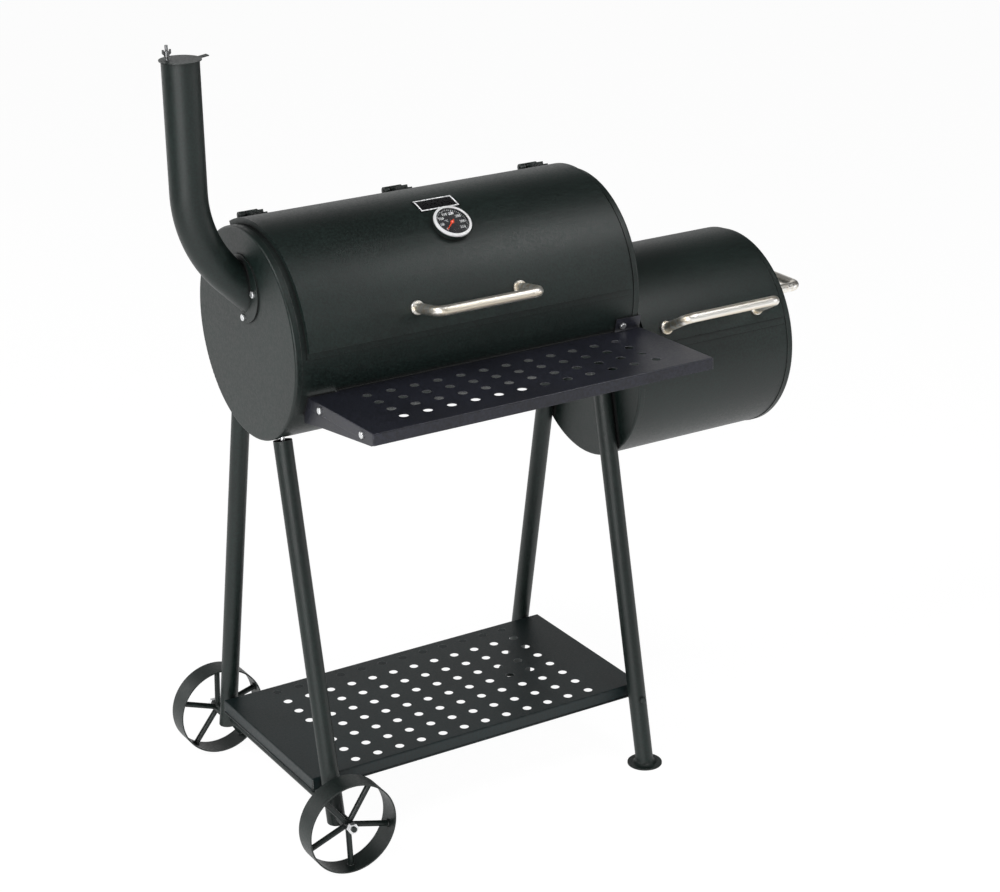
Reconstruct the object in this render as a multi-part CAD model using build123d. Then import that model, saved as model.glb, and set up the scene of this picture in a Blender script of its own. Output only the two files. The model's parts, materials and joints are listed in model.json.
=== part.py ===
# Offset barrel smoker on a four-legged stand, in millimetres.
# Modelled with X along the barrel towards the firebox, Y to the back and Z up from the floor.
from build123d import *
import os
from math import asin, atan2, cos, degrees, radians, sin, sqrt, tan

# Cooking barrel and firebox drums
barrel_radius = 180.0
barrel_length = 660.0
barrel_axis_height = 882.0
firebox_radius = 181.0
firebox_length = 335.0
firebox_drop = 167.0
shell_sheet = 1.5
cap_sheet = 1.2
cap_skirt = 12.0
cap_edge_round = 4.0
joint_bolt_margin = 16.0
smoke_hole_margin = 12.0

# Lids: a raised curved sheet with a joggled front lip, over an opening in the drum
lid_sheet = 1.5
barrel_lid_rise = 9.5
firebox_lid_rise = 4.2
lid_clearance = 0.8
lid_lip_angle = 4.0
barrel_lid_inset = 21.0
barrel_lid_edge_angle = 0.5
barrel_hinge_angle = 122.0
firebox_lid_left_inset = 21.0
firebox_lid_right_inset = 16.0
firebox_lid_edge_angle = 16.5
firebox_hinge_angle = 138.0
lid_back_step = 5.0
opening_side_inset = 14.0
opening_front_step = 8.0
opening_back_step = 6.0

# Lid hinges
hinge_axis_rise = 9.0
hinge_knuckle_radius = 7.0
hinge_lid_knuckle = 22.0
hinge_drum_knuckle = 10.0
hinge_knuckle_gap = 2.5
hinge_pin_radius = 2.5
hinge_pin_overhang = 1.5
hinge_running_clearance = 0.05
hinge_fixed_clearance = 0.02
hinge_leaf_sheet = 2.5
hinge_lid_leaf_angle = 7.0
hinge_drum_leaf_angle = 14.0
hinge_web_angle = 6.0
barrel_hinge_shift = 9.0
barrel_hinge_pitch = 274.5
barrel_hinge_count = 3
firebox_hinge_pitch = 190.0
firebox_hinge_count = 2

# Bent tube handles
handle_tube_radius = 8.5
handle_tube_wall = 1.5
handle_feet_spacing = 195.0
handle_standoff = 72.0
handle_bend_radius = 16.0
handle_collar_radius = 12.0
handle_collar_height = 5.0
handle_screw_radius = 3.0
handle_screw_head_radius = 6.0
handle_screw_head_height = 4.0
screw_hole_clearance = 0.3
thread_clearance = 0.02
barrel_handle_angle = 16.5
barrel_handle_shift = -10.0
barrel_handle_droop = 7.0
firebox_handle_angle = 28.0
firebox_handle_shift = -5.5
carry_handle_rise = 87.5

# Chimney and its swing damper
chimney_radius = 30.6
chimney_wall = 1.5
chimney_reach = 86.0
chimney_base_rise = 79.0
chimney_bend_radius = 210.0
chimney_top_height = 1347.0
chimney_slant = 45.0
chimney_hole_clearance = 0.3
chimney_flange_margin = 7.0
chimney_flange_sheet = 2.5
chimney_bolt_gap = 10.0
chimney_low_bolt_gap = 6.6
damper_radius = 34.0
damper_sheet = 1.5
damper_gap = 0.3
damper_tab_length = 15.0
damper_tab_width = 12.0
damper_tab_slope = 8.0
damper_pivot_offset = 22.0
damper_bolt_radius = 2.5
damper_bolt_head_radius = 4.2
damper_bolt_head_height = 3.0
damper_bolt_above = 26.5
damper_lug_depth = 9.0
damper_lug_sheet = 2.5
damper_lug_width = 18.0
damper_lug_reach = 16.0
wing_nut_stand = 7.0
wing_nut_radius = 4.6
wing_nut_top_radius = 3.7
wing_nut_height = 8.0
wing_span = 15.0
wing_sheet = 2.4
wing_root_low = 1.6
wing_root_high = 6.4
wing_tip_low = 4.8
wing_tip_high = 11.0
wing_tip_width = 3.0

# Lid thermometer and the blank plate above it
thermometer_angle = 55.5
thermometer_shift = 1.5
thermometer_radius = 33.0
thermometer_height = 13.0
thermometer_case_sheet = 1.0
thermometer_bezel_width = 4.5
thermometer_bezel_height = 4.0
thermometer_dial_level = 7.0
thermometer_dial_sheet = 0.8
thermometer_lens_sheet = 1.5
thermometer_stem_radius = 4.0
thermometer_stem_length = 62.0
thermometer_nut_flats = 15.0
thermometer_nut_height = 5.0
needle_pivot_radius = 1.0
needle_running_clearance = 0.05
needle_hub_radius = 3.2
needle_length = 21.0
needle_tail = 6.4
needle_width = 2.6
needle_tip_width = 1.2
needle_sheet = 0.8
needle_float = 0.6
needle_rest_angle = 222.0
plate_width = 75.0
plate_shift = 3.6
plate_low_angle = 67.8
plate_high_angle = 78.3
plate_sheet = 1.0
plate_seat_gap = 0.2

# Front shelf on two brackets
shelf_left_inset = 24.0
shelf_right_overhang = 6.0
shelf_depth = 220.0
shelf_drop = 64.0
shelf_tilt = 1.5
shelf_sheet = 1.2
shelf_flange = 20.0
shelf_fold_radius = 2.4
shelf_back_gap = 1.0
shelf_hole_radius = 8.0
shelf_hole_pitch_x = 43.5
shelf_hole_pitch_y = 40.0
shelf_hole_side_margin = 80.0
shelf_hole_front_margin = 49.0
shelf_hole_back_margin = 50.0
bracket_sheet = 2.0
bracket_front_gap = 9.0
bracket_back_drop = 41.5
bracket_heel_drop = 50.0
bracket_heel_reach = 18.0
bracket_shoulder = 38.0
bracket_front_drop = 23.0
bracket_tab_width = 50.0
bracket_tab_low_angle = -34.0
bracket_seat_clearance = 0.2
left_tab_top_angle = -21.4
left_tab_bolt_angle = -27.0
right_tab_top_angle = -13.0
right_tab_bolt_angle = -17.5
tab_bolt_inset = 36.0
shelf_notch_depth = 6.0
shelf_bolt_drop = 11.5
shelf_bolt_back = 43.0
shelf_bolt_front = 184.0

# Bolts that fix sheet parts together
bolt_radius = 3.0
bolt_head_radius = 5.8
bolt_head_height = 3.6
bolt_nut_height = 4.0
bolt_tail = 2.0
head_rounding = 0.45

# Stand: four leaning tube legs, two of them on foot discs
leg_radius = 16.0
leg_wall = 1.5
leg_left_inset = 19.0
leg_right_inset = 16.0
leg_floor_spread = 227.0
leg_top_spread = 78.0
leg_seat_clearance = 0.3
leg_plug_length = 18.0
leg_bolt_radius = 4.0
leg_bolt_head_radius = 7.0
leg_bolt_head_height = 5.0
leg_bolt_grip = 12.0
leg_below_axle = 15.5
foot_radius = 31.5
foot_sheet = 3.0

# Lower shelf
lower_end_overhang = 23.0
lower_leg_gap = 10.0
lower_height = 136.0
lower_sheet = 1.2
lower_flange = 23.0
lower_fold_radius = 2.4
lower_corner_relief = 1.6
lower_hole_radius = 8.0
lower_hole_pitch_x = 43.5
lower_hole_pitch_y = 43.0
lower_hole_end_margin = 90.0
lower_hole_side_margin = 23.0
lower_bolt_drop = 12.0
spacer_radius = 7.0

# Wheels on one axle
wheel_radius = 81.5
wheel_rim_sheet = 2.5
wheel_rim_width = 42.0
wheel_spoke_radius = 5.0
wheel_spokes = 5
wheel_hub_radius = 9.0
wheel_leg_gap = 6.0
hub_side_gap = 0.5
axle_radius = 5.0
axle_running_clearance = 0.05
axle_hole_clearance = 0.1
axle_nut_flats = 17.0
axle_nut_height = 8.0
axle_tail = 3.0
front_wheel_turn = 56.0
rear_wheel_turn = 88.0

# Grates inside
grate_drop = 25.0
grate_rail_width = 16.0
grate_rail_sheet = 2.0
grate_wire_radius = 2.0
grate_frame_radius = 3.0
grate_side_gap = 6.0
grate_end_gap = 12.0
grate_middle_gap = 4.0
grate_pitch = 18.0
grate_weld_bite = 1.0
charcoal_drop = 95.0
charcoal_frame_radius = 4.0
charcoal_wire_radius = 3.0
charcoal_pitch = 24.0
charcoal_end_gap = 14.0
charcoal_seat_clearance = 0.3

# Air damper on the far end of the firebox
air_drop = 80.0
air_disc_radius = 58.0
air_disc_sheet = 1.5
air_disc_gap = 0.4
air_hole_radius = 13.0
air_hole_circle = 36.0
air_holes = 4
air_tab_length = 16.0
air_tab_width = 14.0
air_tab_sheet = 2.0
air_tab_height = 12.0
air_rivet_radius = 4.0
air_rivet_head_radius = 8.0
air_rivet_head_height = 3.0
air_running_clearance = 0.08

# How far a cutting tool runs past what it cuts
cut_margin = 1.0

# Worked-out places
barrel_end = barrel_length / 2
firebox_end = barrel_end + firebox_length
firebox_axis_height = barrel_axis_height - firebox_drop
barrel_shell_radius = barrel_radius - cap_sheet
firebox_shell_radius = firebox_radius - cap_sheet
barrel_lid_radius = barrel_radius + barrel_lid_rise
firebox_lid_radius = firebox_radius + firebox_lid_rise
leg_x = {-1: leg_left_inset - barrel_end, 1: barrel_end - leg_right_inset}
wheel_x = leg_x[-1]

pieces = {}


def radial_point(radius, angle, axis_height, x=0.0):
    """A point at an angle up from the front of a drum."""
    return Vector(x, -radius * cos(radians(angle)), axis_height + radius * sin(radians(angle)))


def radial_plane(x, radius, angle, axis_height):
    """A plane that faces straight out of a drum, with its own x along the drum."""
    normal = radial_point(1.0, angle, 0.0)
    return Plane(origin=radial_point(radius, angle, axis_height, x), x_dir=(1, 0, 0), z_dir=normal)


def drum_sector(inner, outer, low_angle, high_angle, x_start, x_end, axis_height):
    """A curved strip of a drum between two radii and two angles."""
    sweep_angle = high_angle - low_angle
    outer_arc = CenterArc((0, 0), outer, 180 - high_angle, sweep_angle)
    inner_arc = CenterArc((0, 0), inner, 180 - high_angle, sweep_angle)
    sides = [Line(outer_arc @ 0, inner_arc @ 0), Line(outer_arc @ 1, inner_arc @ 1)]
    face = make_face([outer_arc, inner_arc] + sides)
    section = Plane(origin=(x_start, 0, axis_height), x_dir=(0, 1, 0), z_dir=(1, 0, 0))
    return extrude(section * face, x_end - x_start)


def rod_between(start, end, radius):
    """A round bar from one point to another."""
    start = Vector(start)
    end = Vector(end)
    run = end - start
    section = Plane(origin=start, z_dir=run) * Circle(radius)
    return extrude(section, run.length)


def rod_x(radius, x_start, x_end, y, z):
    """A round bar along the drum."""
    return rod_between((x_start, y, z), (x_end, y, z), radius)


def hex_bolt(head_plane, grip, radius, head_radius, head_height, nut_height, tail):
    """A bolt with its head on a plane, its shank the other way and its nut past the grip."""
    bolt = Cylinder(head_radius, head_height, align=(Align.CENTER, Align.CENTER, Align.MIN))
    bolt = fillet(bolt.edges().group_by(Axis.Z)[-1], head_height * head_rounding)
    shank_length = grip + nut_height + tail
    bolt += Pos(0, 0, -shank_length) * Cylinder(
        radius, shank_length, align=(Align.CENTER, Align.CENTER, Align.MIN)
    )
    nut = extrude(RegularPolygon(head_radius, 6), nut_height)
    bolt += Pos(0, 0, -grip - nut_height) * nut
    return head_plane * bolt


def sheet_bolt(head_plane, grip):
    """The common bolt that fixes sheet to sheet."""
    return hex_bolt(
        head_plane, grip, bolt_radius, bolt_head_radius, bolt_head_height, bolt_nut_height, bolt_tail
    )


def drill(plane, radius, depth):
    """A drill through sheet, reaching both ways from a plane."""
    return plane * Cylinder(radius, 2 * depth)


# Drums: a rolled shell with an opening under its lid, and a flanged cap on each end


def end_cap(radius, face_x, outward, axis_height):
    """A pressed cap whose skirt goes over the end of the shell."""
    cup = Cylinder(radius, cap_skirt, align=(Align.CENTER, Align.CENTER, Align.MAX))
    cup = fillet(cup.edges().group_by(Axis.Z)[-1], cap_edge_round)
    hollow = Cylinder(radius - cap_sheet, cap_skirt, align=(Align.CENTER, Align.CENTER, Align.MAX))
    hollow = fillet(hollow.edges().group_by(Axis.Z)[-1], cap_edge_round - cap_sheet)
    cup -= Pos(0, 0, -cap_sheet) * hollow
    seat = Plane(origin=(face_x, 0, axis_height), x_dir=(0, 1, 0), z_dir=(outward, 0, 0))
    return seat * cup


def drum_shell(radius, x_start, x_end, axis_height):
    """A rolled sheet between two caps."""
    start = x_start + cap_edge_round
    end = x_end - cap_edge_round
    section = Circle(radius) - Circle(radius - shell_sheet)
    base = Plane(origin=(start, 0, axis_height), x_dir=(0, 1, 0), z_dir=(1, 0, 0))
    return extrude(base * section, end - start)


def lid_opening(radius, lid_start, lid_end, edge_angle, hinge_angle, axis_height):
    """The part of the shell that is cut away under a lid."""
    return drum_sector(
        radius - 2 * shell_sheet,
        radius + shell_sheet,
        edge_angle + opening_front_step,
        hinge_angle - lid_back_step - opening_back_step,
        lid_start + opening_side_inset,
        lid_end - opening_side_inset,
        axis_height,
    )


def drum_lid(shell_radius, outer, lid_start, lid_end, edge_angle, hinge_angle, axis_height):
    """A raised curved sheet, closed at both ends and the back, with a stepped-in front lip."""
    seat = shell_radius + lid_clearance
    step_angle = edge_angle + lid_lip_angle
    back_angle = hinge_angle - lid_back_step
    wall_angle = degrees(lid_sheet / outer)
    crown = drum_sector(outer - lid_sheet, outer, step_angle, back_angle, lid_start, lid_end, axis_height)
    lip = drum_sector(
        seat, seat + lid_sheet, edge_angle, step_angle + wall_angle, lid_start, lid_end, axis_height
    )
    step = drum_sector(seat, outer, step_angle, step_angle + wall_angle, lid_start, lid_end, axis_height)
    back = drum_sector(seat, outer, back_angle - wall_angle, back_angle, lid_start, lid_end, axis_height)
    left = drum_sector(seat, outer, step_angle, back_angle, lid_start, lid_start + lid_sheet, axis_height)
    right = drum_sector(seat, outer, step_angle, back_angle, lid_end - lid_sheet, lid_end, axis_height)
    return crown + [lip, step, back, left, right]


barrel_lid_start = -barrel_end + barrel_lid_inset
barrel_lid_end = barrel_end - barrel_lid_inset
firebox_lid_start = barrel_end + firebox_lid_left_inset
firebox_lid_end = firebox_end - firebox_lid_right_inset

barrel_shell = drum_shell(barrel_shell_radius, -barrel_end, barrel_end, barrel_axis_height)
barrel_shell -= lid_opening(
    barrel_shell_radius,
    barrel_lid_start,
    barrel_lid_end,
    barrel_lid_edge_angle,
    barrel_hinge_angle,
    barrel_axis_height,
)
firebox_shell = drum_shell(firebox_shell_radius, barrel_end, firebox_end, firebox_axis_height)
firebox_shell -= lid_opening(
    firebox_shell_radius,
    firebox_lid_start,
    firebox_lid_end,
    firebox_lid_edge_angle,
    firebox_hinge_angle,
    firebox_axis_height,
)
barrel_left_cap = end_cap(barrel_radius, -barrel_end, -1, barrel_axis_height)
barrel_right_cap = end_cap(barrel_radius, barrel_end, 1, barrel_axis_height)
firebox_left_cap = end_cap(firebox_radius, barrel_end, -1, firebox_axis_height)
firebox_right_cap = end_cap(firebox_radius, firebox_end, 1, firebox_axis_height)
main_lid = drum_lid(
    barrel_shell_radius,
    barrel_lid_radius,
    barrel_lid_start,
    barrel_lid_end,
    barrel_lid_edge_angle,
    barrel_hinge_angle,
    barrel_axis_height,
)
firebox_lid = drum_lid(
    firebox_shell_radius,
    firebox_lid_radius,
    firebox_lid_start,
    firebox_lid_end,
    firebox_lid_edge_angle,
    firebox_hinge_angle,
    firebox_axis_height,
)

# Smoke passage and the bolts that hold the two drums together face to face
passage_height = barrel_axis_height - firebox_drop / 2
passage_plane = Plane(origin=(barrel_end, 0, passage_height), x_dir=(0, 1, 0), z_dir=(1, 0, 0))
shared_half_height = min(barrel_radius, firebox_radius) - firebox_drop / 2
joint_bolt_offset = shared_half_height - joint_bolt_margin
smoke_hole_radius = joint_bolt_offset - smoke_hole_margin
smoke_hole = drill(passage_plane, smoke_hole_radius, 2 * cap_sheet)
joint_places = PolarLocations(joint_bolt_offset, 4)
joint_drill = Cylinder(bolt_radius + screw_hole_clearance, 8 * cap_sheet)
joint_holes = [passage_plane * (place * joint_drill) for place in joint_places]
barrel_right_cap -= [smoke_hole] + joint_holes
firebox_left_cap -= [smoke_hole] + joint_holes
joint_head_plane = Plane(
    origin=(barrel_end - cap_sheet, 0, passage_height), x_dir=(0, 1, 0), z_dir=(-1, 0, 0)
)
shell_bolts = []
for place in joint_places:
    spot = Plane(joint_head_plane.location * place)
    shell_bolts.append(sheet_bolt(spot, 2 * cap_sheet))

# Lid hinges: a leaf with a long knuckle on the lid, a leaf with a short one on the drum, and a pin


def lid_hinge(x_middle, shell_radius, lid_radius, hinge_angle, axis_height):
    """One hinge as its lid leaf, drum leaf and pin."""
    pin_radius_out = lid_radius + hinge_axis_rise
    axis_point = radial_point(pin_radius_out, hinge_angle, axis_height)
    width = hinge_drum_knuckle + hinge_knuckle_gap + hinge_lid_knuckle
    left = x_middle - width / 2
    split = left + hinge_drum_knuckle
    lid_left = split + hinge_knuckle_gap
    right = left + width
    lid_back_angle = hinge_angle - lid_back_step
    y = axis_point.Y
    z = axis_point.Z

    lid_leaf = drum_sector(
        lid_radius,
        lid_radius + hinge_leaf_sheet,
        lid_back_angle - hinge_lid_leaf_angle,
        lid_back_angle,
        lid_left,
        right,
        axis_height,
    )
    lid_leaf += drum_sector(
        lid_radius,
        pin_radius_out,
        lid_back_angle - lid_back_step / 2,
        hinge_angle,
        lid_left,
        right,
        axis_height,
    )
    lid_leaf += rod_x(hinge_knuckle_radius, lid_left, right, y, z)
    lid_leaf -= rod_x(hinge_pin_radius + hinge_running_clearance, left, right + hinge_pin_radius, y, z)

    drum_leaf = drum_sector(
        shell_radius,
        shell_radius + hinge_leaf_sheet,
        hinge_angle + lid_back_step,
        hinge_angle + lid_back_step + hinge_drum_leaf_angle,
        left,
        right,
        axis_height,
    )
    drum_leaf += drum_sector(
        shell_radius, pin_radius_out, hinge_angle, hinge_angle + hinge_web_angle, left, split, axis_height
    )
    drum_leaf += rod_x(hinge_knuckle_radius, left, split, y, z)
    drum_leaf -= rod_x(hinge_pin_radius + hinge_fixed_clearance, left - cut_margin, split + cut_margin, y, z)

    pin = rod_x(hinge_pin_radius, left - hinge_pin_overhang, right + hinge_pin_overhang, y, z)
    return lid_leaf, drum_leaf, pin


def hinge_row(x_middle, pitch, count, shell_radius, lid_radius, hinge_angle, axis_height):
    """All the hinges of one lid, as three lists."""
    first = x_middle - pitch * (count - 1) / 2
    hinges = []
    for index in range(count):
        x = first + pitch * index
        hinges.append(lid_hinge(x, shell_radius, lid_radius, hinge_angle, axis_height))
    return [list(group) for group in zip(*hinges)]


firebox_lid_middle = (firebox_lid_start + firebox_lid_end) / 2
main_lid_leaves, barrel_leaves, main_pins = hinge_row(
    barrel_hinge_shift,
    barrel_hinge_pitch,
    barrel_hinge_count,
    barrel_shell_radius,
    barrel_lid_radius,
    barrel_hinge_angle,
    barrel_axis_height,
)
firebox_lid_leaves, firebox_leaves, firebox_pins = hinge_row(
    firebox_lid_middle,
    firebox_hinge_pitch,
    firebox_hinge_count,
    firebox_shell_radius,
    firebox_lid_radius,
    firebox_hinge_angle,
    firebox_axis_height,
)

# Handles: a bent stainless tube with a round collar on each foot, screwed on from inside


def bent_handle():
    """A handle on the plane of its feet, standing up along Z, with its bar along X."""
    half = handle_feet_spacing / 2
    foot_top = handle_collar_height
    path = FilletPolyline(
        (-half, 0, foot_top),
        (-half, 0, handle_standoff),
        (half, 0, handle_standoff),
        (half, 0, foot_top),
        radius=handle_bend_radius,
    )
    start = Plane(origin=(-half, 0, foot_top), z_dir=(0, 0, 1))
    tube = sweep(start * Circle(handle_tube_radius), path=path)
    tube -= sweep(start * Circle(handle_tube_radius - handle_tube_wall), path=path)
    base = Align.CENTER, Align.CENTER, Align.MIN
    collar = Cylinder(handle_collar_radius, handle_collar_height, align=base)
    collar = fillet(collar.edges().group_by(Axis.Z)[-1], handle_collar_height / 3)
    collar -= Cylinder(handle_screw_radius + thread_clearance, 4 * handle_collar_height)
    return tube + [Pos(-half, 0, 0) * collar, Pos(half, 0, 0) * collar]


def handle_screw(grip):
    """A pan-head screw from behind a sheet into a collar, on the plane of the collar's foot."""
    head = Cylinder(
        handle_screw_head_radius, handle_screw_head_height, align=(Align.CENTER, Align.CENTER, Align.MAX)
    )
    head = fillet(head.edges().group_by(Axis.Z)[0], handle_screw_head_height * head_rounding)
    shank = Cylinder(
        handle_screw_radius, grip + handle_collar_height, align=(Align.CENTER, Align.CENTER, Align.MIN)
    )
    return Pos(0, 0, -grip) * (head + shank)


def place_handle(plane, grip):
    """A handle and its two screws on a plane, and the drill that clears the screws."""
    handle = plane * bent_handle()
    feet = [Pos(side * handle_feet_spacing / 2, 0, 0) for side in (-1, 1)]
    screws = [plane * (foot * handle_screw(grip)) for foot in feet]
    hole = Cylinder(handle_screw_radius + screw_hole_clearance, 4 * handle_collar_height)
    holes = [plane * (foot * hole) for foot in feet]
    return handle, screws, holes


# A collar's flat foot is let into the round of the lid by the height of the arc and of the droop under it
droop_rise = sin(radians(barrel_handle_droop))
barrel_handle_sink = barrel_lid_radius - sqrt(barrel_lid_radius**2 - handle_collar_radius**2)
barrel_handle_sink += handle_collar_radius * droop_rise
barrel_screw_grip = lid_sheet - barrel_handle_sink + handle_screw_head_radius * droop_rise
barrel_screw_grip += barrel_lid_radius - sqrt(barrel_lid_radius**2 - handle_screw_head_radius**2)
firebox_handle_sink = firebox_lid_radius - sqrt(firebox_lid_radius**2 - handle_collar_radius**2)
barrel_handle_plane = radial_plane(
    barrel_handle_shift, barrel_lid_radius - barrel_handle_sink, barrel_handle_angle, barrel_axis_height
)
barrel_handle_plane = barrel_handle_plane.rotated((barrel_handle_droop, 0, 0))
firebox_handle_plane = radial_plane(
    firebox_lid_middle + firebox_handle_shift,
    firebox_lid_radius - firebox_handle_sink,
    firebox_handle_angle,
    firebox_axis_height,
)
carry_handle_plane = Plane(
    origin=(firebox_end, 0, firebox_axis_height + carry_handle_rise), x_dir=(0, 1, 0), z_dir=(1, 0, 0)
)
main_lid_handle, main_lid_screws, main_lid_holes = place_handle(barrel_handle_plane, barrel_screw_grip)
firebox_lid_handle, firebox_lid_screws, firebox_lid_holes = place_handle(firebox_handle_plane, lid_sheet)
carry_handle, carry_screws, carry_holes = place_handle(carry_handle_plane, cap_sheet)
lid_round = rod_x(barrel_lid_radius, barrel_lid_start, barrel_lid_end, 0, barrel_axis_height)
main_lid_handle -= lid_round
firebox_round = rod_x(firebox_lid_radius, firebox_lid_start, firebox_lid_end, 0, firebox_axis_height)
firebox_lid_handle -= firebox_round
main_lid -= main_lid_holes
firebox_lid -= firebox_lid_holes
firebox_right_cap -= carry_holes

# Chimney: a bent pipe through a round flange that is bolted to the left cap

chimney_x = -barrel_end - chimney_reach
chimney_base = Vector(-barrel_end, 0, barrel_axis_height + chimney_base_rise)
chimney_rise = chimney_reach / tan(radians(chimney_slant))
chimney_corner = Vector(chimney_x, 0, chimney_base.Z + chimney_rise)
chimney_top = Vector(chimney_x, 0, chimney_top_height)
chimney_run = (chimney_base - chimney_corner).normalized()
chimney_foot = chimney_base + chimney_run * (2 * chimney_radius)
chimney_path = FilletPolyline(chimney_top, chimney_corner, chimney_foot, radius=chimney_bend_radius)


def chimney_tube(radius):
    """The pipe's run swept at one radius."""
    return sweep(Plane(origin=chimney_top, z_dir=(0, 0, -1)) * Circle(radius), path=chimney_path)


inner_side = Pos(-barrel_end + cap_sheet, 0, barrel_axis_height) * Box(
    barrel_length, 2 * barrel_radius, 2 * barrel_radius, align=(Align.MIN, Align.CENTER, Align.CENTER)
)
chimney_pipe = chimney_tube(chimney_radius) - chimney_tube(chimney_radius - chimney_wall)
chimney_pipe -= inner_side
chimney_slot = rod_between(
    chimney_base - chimney_run * (2 * chimney_radius), chimney_foot, chimney_radius + chimney_hole_clearance
)
chimney_bolt_side = chimney_radius + chimney_bolt_gap
chimney_bolt_drop = chimney_radius / cos(radians(chimney_slant)) + chimney_low_bolt_gap
chimney_flange_radius = chimney_bolt_drop + chimney_flange_margin
chimney_plane = Plane(origin=chimney_base, x_dir=(0, 1, 0), z_dir=(-1, 0, 0))
chimney_flange = chimney_plane * extrude(Circle(chimney_flange_radius), chimney_flange_sheet)
chimney_flange -= chimney_slot
barrel_left_cap -= chimney_slot
flange_places = [
    Pos(chimney_bolt_side, 0, 0),
    Pos(-chimney_bolt_side, 0, 0),
    Pos(0, chimney_bolt_drop, 0),
]
flange_drill = Cylinder(bolt_radius + screw_hole_clearance, 8 * chimney_flange_sheet)
flange_holes = [chimney_plane * (place * flange_drill) for place in flange_places]
chimney_flange -= flange_holes
barrel_left_cap -= flange_holes
flange_head_plane = chimney_plane.offset(chimney_flange_sheet)
for place in flange_places:
    spot = Plane(flange_head_plane.location * place)
    shell_bolts.append(sheet_bolt(spot, chimney_flange_sheet + cap_sheet))

# Swing damper on the pipe's mouth, turning about a bolt on a lug inside the pipe
damper_seat = chimney_top_height + damper_gap
pivot_x = chimney_x - damper_pivot_offset
lug_top = chimney_top_height - damper_lug_depth
lug_middle = pivot_x - damper_lug_reach / 4
damper_lug = Pos(lug_middle, 0, lug_top) * Box(
    damper_lug_reach, damper_lug_width, damper_lug_sheet, align=(Align.CENTER, Align.CENTER, Align.MAX)
)
damper_lug &= rod_between(
    (chimney_x, 0, lug_top - damper_lug_depth), (chimney_x, 0, lug_top), chimney_radius - chimney_wall
)
damper_lug -= rod_between(
    (pivot_x, 0, lug_top - damper_lug_depth),
    (pivot_x, 0, lug_top + cut_margin),
    damper_bolt_radius + thread_clearance,
)
chimney_pipe += damper_lug
damper_cap = Pos(chimney_x, 0, damper_seat) * extrude(Circle(damper_radius), damper_sheet)
damper_tab = Rot(0, -damper_tab_slope, 0) * Box(
    2 * damper_tab_length, damper_tab_width, damper_sheet, align=(Align.CENTER, Align.CENTER, Align.MIN)
)
damper_tab &= Box(
    4 * damper_tab_length,
    damper_tab_width,
    4 * damper_tab_length,
    align=(Align.MIN, Align.CENTER, Align.MIN),
)
damper_cap += Pos(chimney_x + damper_radius - damper_sheet, 0, damper_seat) * damper_tab
damper_cap -= rod_between(
    (pivot_x, 0, chimney_top_height),
    (pivot_x, 0, damper_seat + 2 * damper_sheet),
    damper_bolt_radius + hinge_running_clearance,
)
bolt_low = lug_top - damper_lug_sheet
bolt_high = damper_seat + damper_bolt_above
damper_bolt = rod_between((pivot_x, 0, bolt_low), (pivot_x, 0, bolt_high), damper_bolt_radius)
damper_bolt += Pos(pivot_x, 0, bolt_low - damper_bolt_head_height) * extrude(
    RegularPolygon(damper_bolt_head_radius, 6), damper_bolt_head_height
)
nut_low = damper_seat + damper_sheet + wing_nut_stand
wing_nut = Pos(pivot_x, 0, nut_low) * Cone(
    wing_nut_radius, wing_nut_top_radius, wing_nut_height, align=(Align.CENTER, Align.CENTER, Align.MIN)
)
wing_tip = wing_span / 2
wing_outline = Polyline(
    (0, wing_root_low),
    (wing_nut_top_radius, wing_root_low),
    (wing_tip, wing_tip_low),
    (wing_tip, wing_tip_high),
    (wing_tip - wing_tip_width, wing_tip_high),
    (wing_nut_top_radius, wing_root_high),
    (0, wing_root_high),
    close=True,
)
wing = extrude(Plane.XZ * make_face(wing_outline), wing_sheet / 2, both=True)
wing_nut += [Pos(pivot_x, 0, nut_low) * wing, Pos(pivot_x, 0, nut_low) * Rot(0, 0, 180) * wing]
wing_nut -= rod_between(
    (pivot_x, 0, nut_low - cut_margin),
    (pivot_x, 0, bolt_high + cut_margin),
    damper_bolt_radius + thread_clearance,
)

# Thermometer: a round case on the lid with its stem and nut inside, a dial, a needle and a lens

dial_plane = radial_plane(thermometer_shift, barrel_lid_radius, thermometer_angle, barrel_axis_height)
bezel_inner = thermometer_radius - thermometer_bezel_width
lens_level = thermometer_height - thermometer_bezel_height + thermometer_case_sheet
case_cup = extrude(Circle(thermometer_radius - thermometer_case_sheet), lens_level)
case_hollow = Pos(0, 0, thermometer_case_sheet) * extrude(
    Circle(thermometer_radius - 2 * thermometer_case_sheet), lens_level
)
case_cup -= case_hollow
case_cup -= Cylinder(thermometer_stem_radius + thread_clearance, 4 * thermometer_case_sheet)
thermometer_case = dial_plane * case_cup
bezel = Pos(0, 0, thermometer_height - thermometer_bezel_height) * extrude(
    Circle(thermometer_radius), thermometer_bezel_height
)
bezel = fillet(bezel.edges().group_by(Axis.Z)[-1], thermometer_bezel_height * head_rounding)
bezel -= extrude(Circle(bezel_inner), 2 * thermometer_height)
bezel -= extrude(Circle(thermometer_radius - thermometer_case_sheet), lens_level + thermometer_lens_sheet)
thermometer_bezel = dial_plane * bezel
dial_radius = thermometer_radius - 2 * thermometer_case_sheet
dial = Pos(0, 0, thermometer_dial_level) * extrude(Circle(dial_radius), thermometer_dial_sheet)
dial -= Cylinder(needle_pivot_radius + thread_clearance, 4 * thermometer_height)
thermometer_dial = dial_plane * dial
lens = Pos(0, 0, lens_level) * extrude(
    Circle(thermometer_radius - thermometer_case_sheet), thermometer_lens_sheet
)
thermometer_lens = dial_plane * lens
dial_top = thermometer_dial_level + thermometer_dial_sheet
needle_level = dial_top + needle_float
stem = Pos(0, 0, -thermometer_stem_length) * extrude(
    Circle(thermometer_stem_radius), thermometer_stem_length + thermometer_dial_level
)
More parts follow.
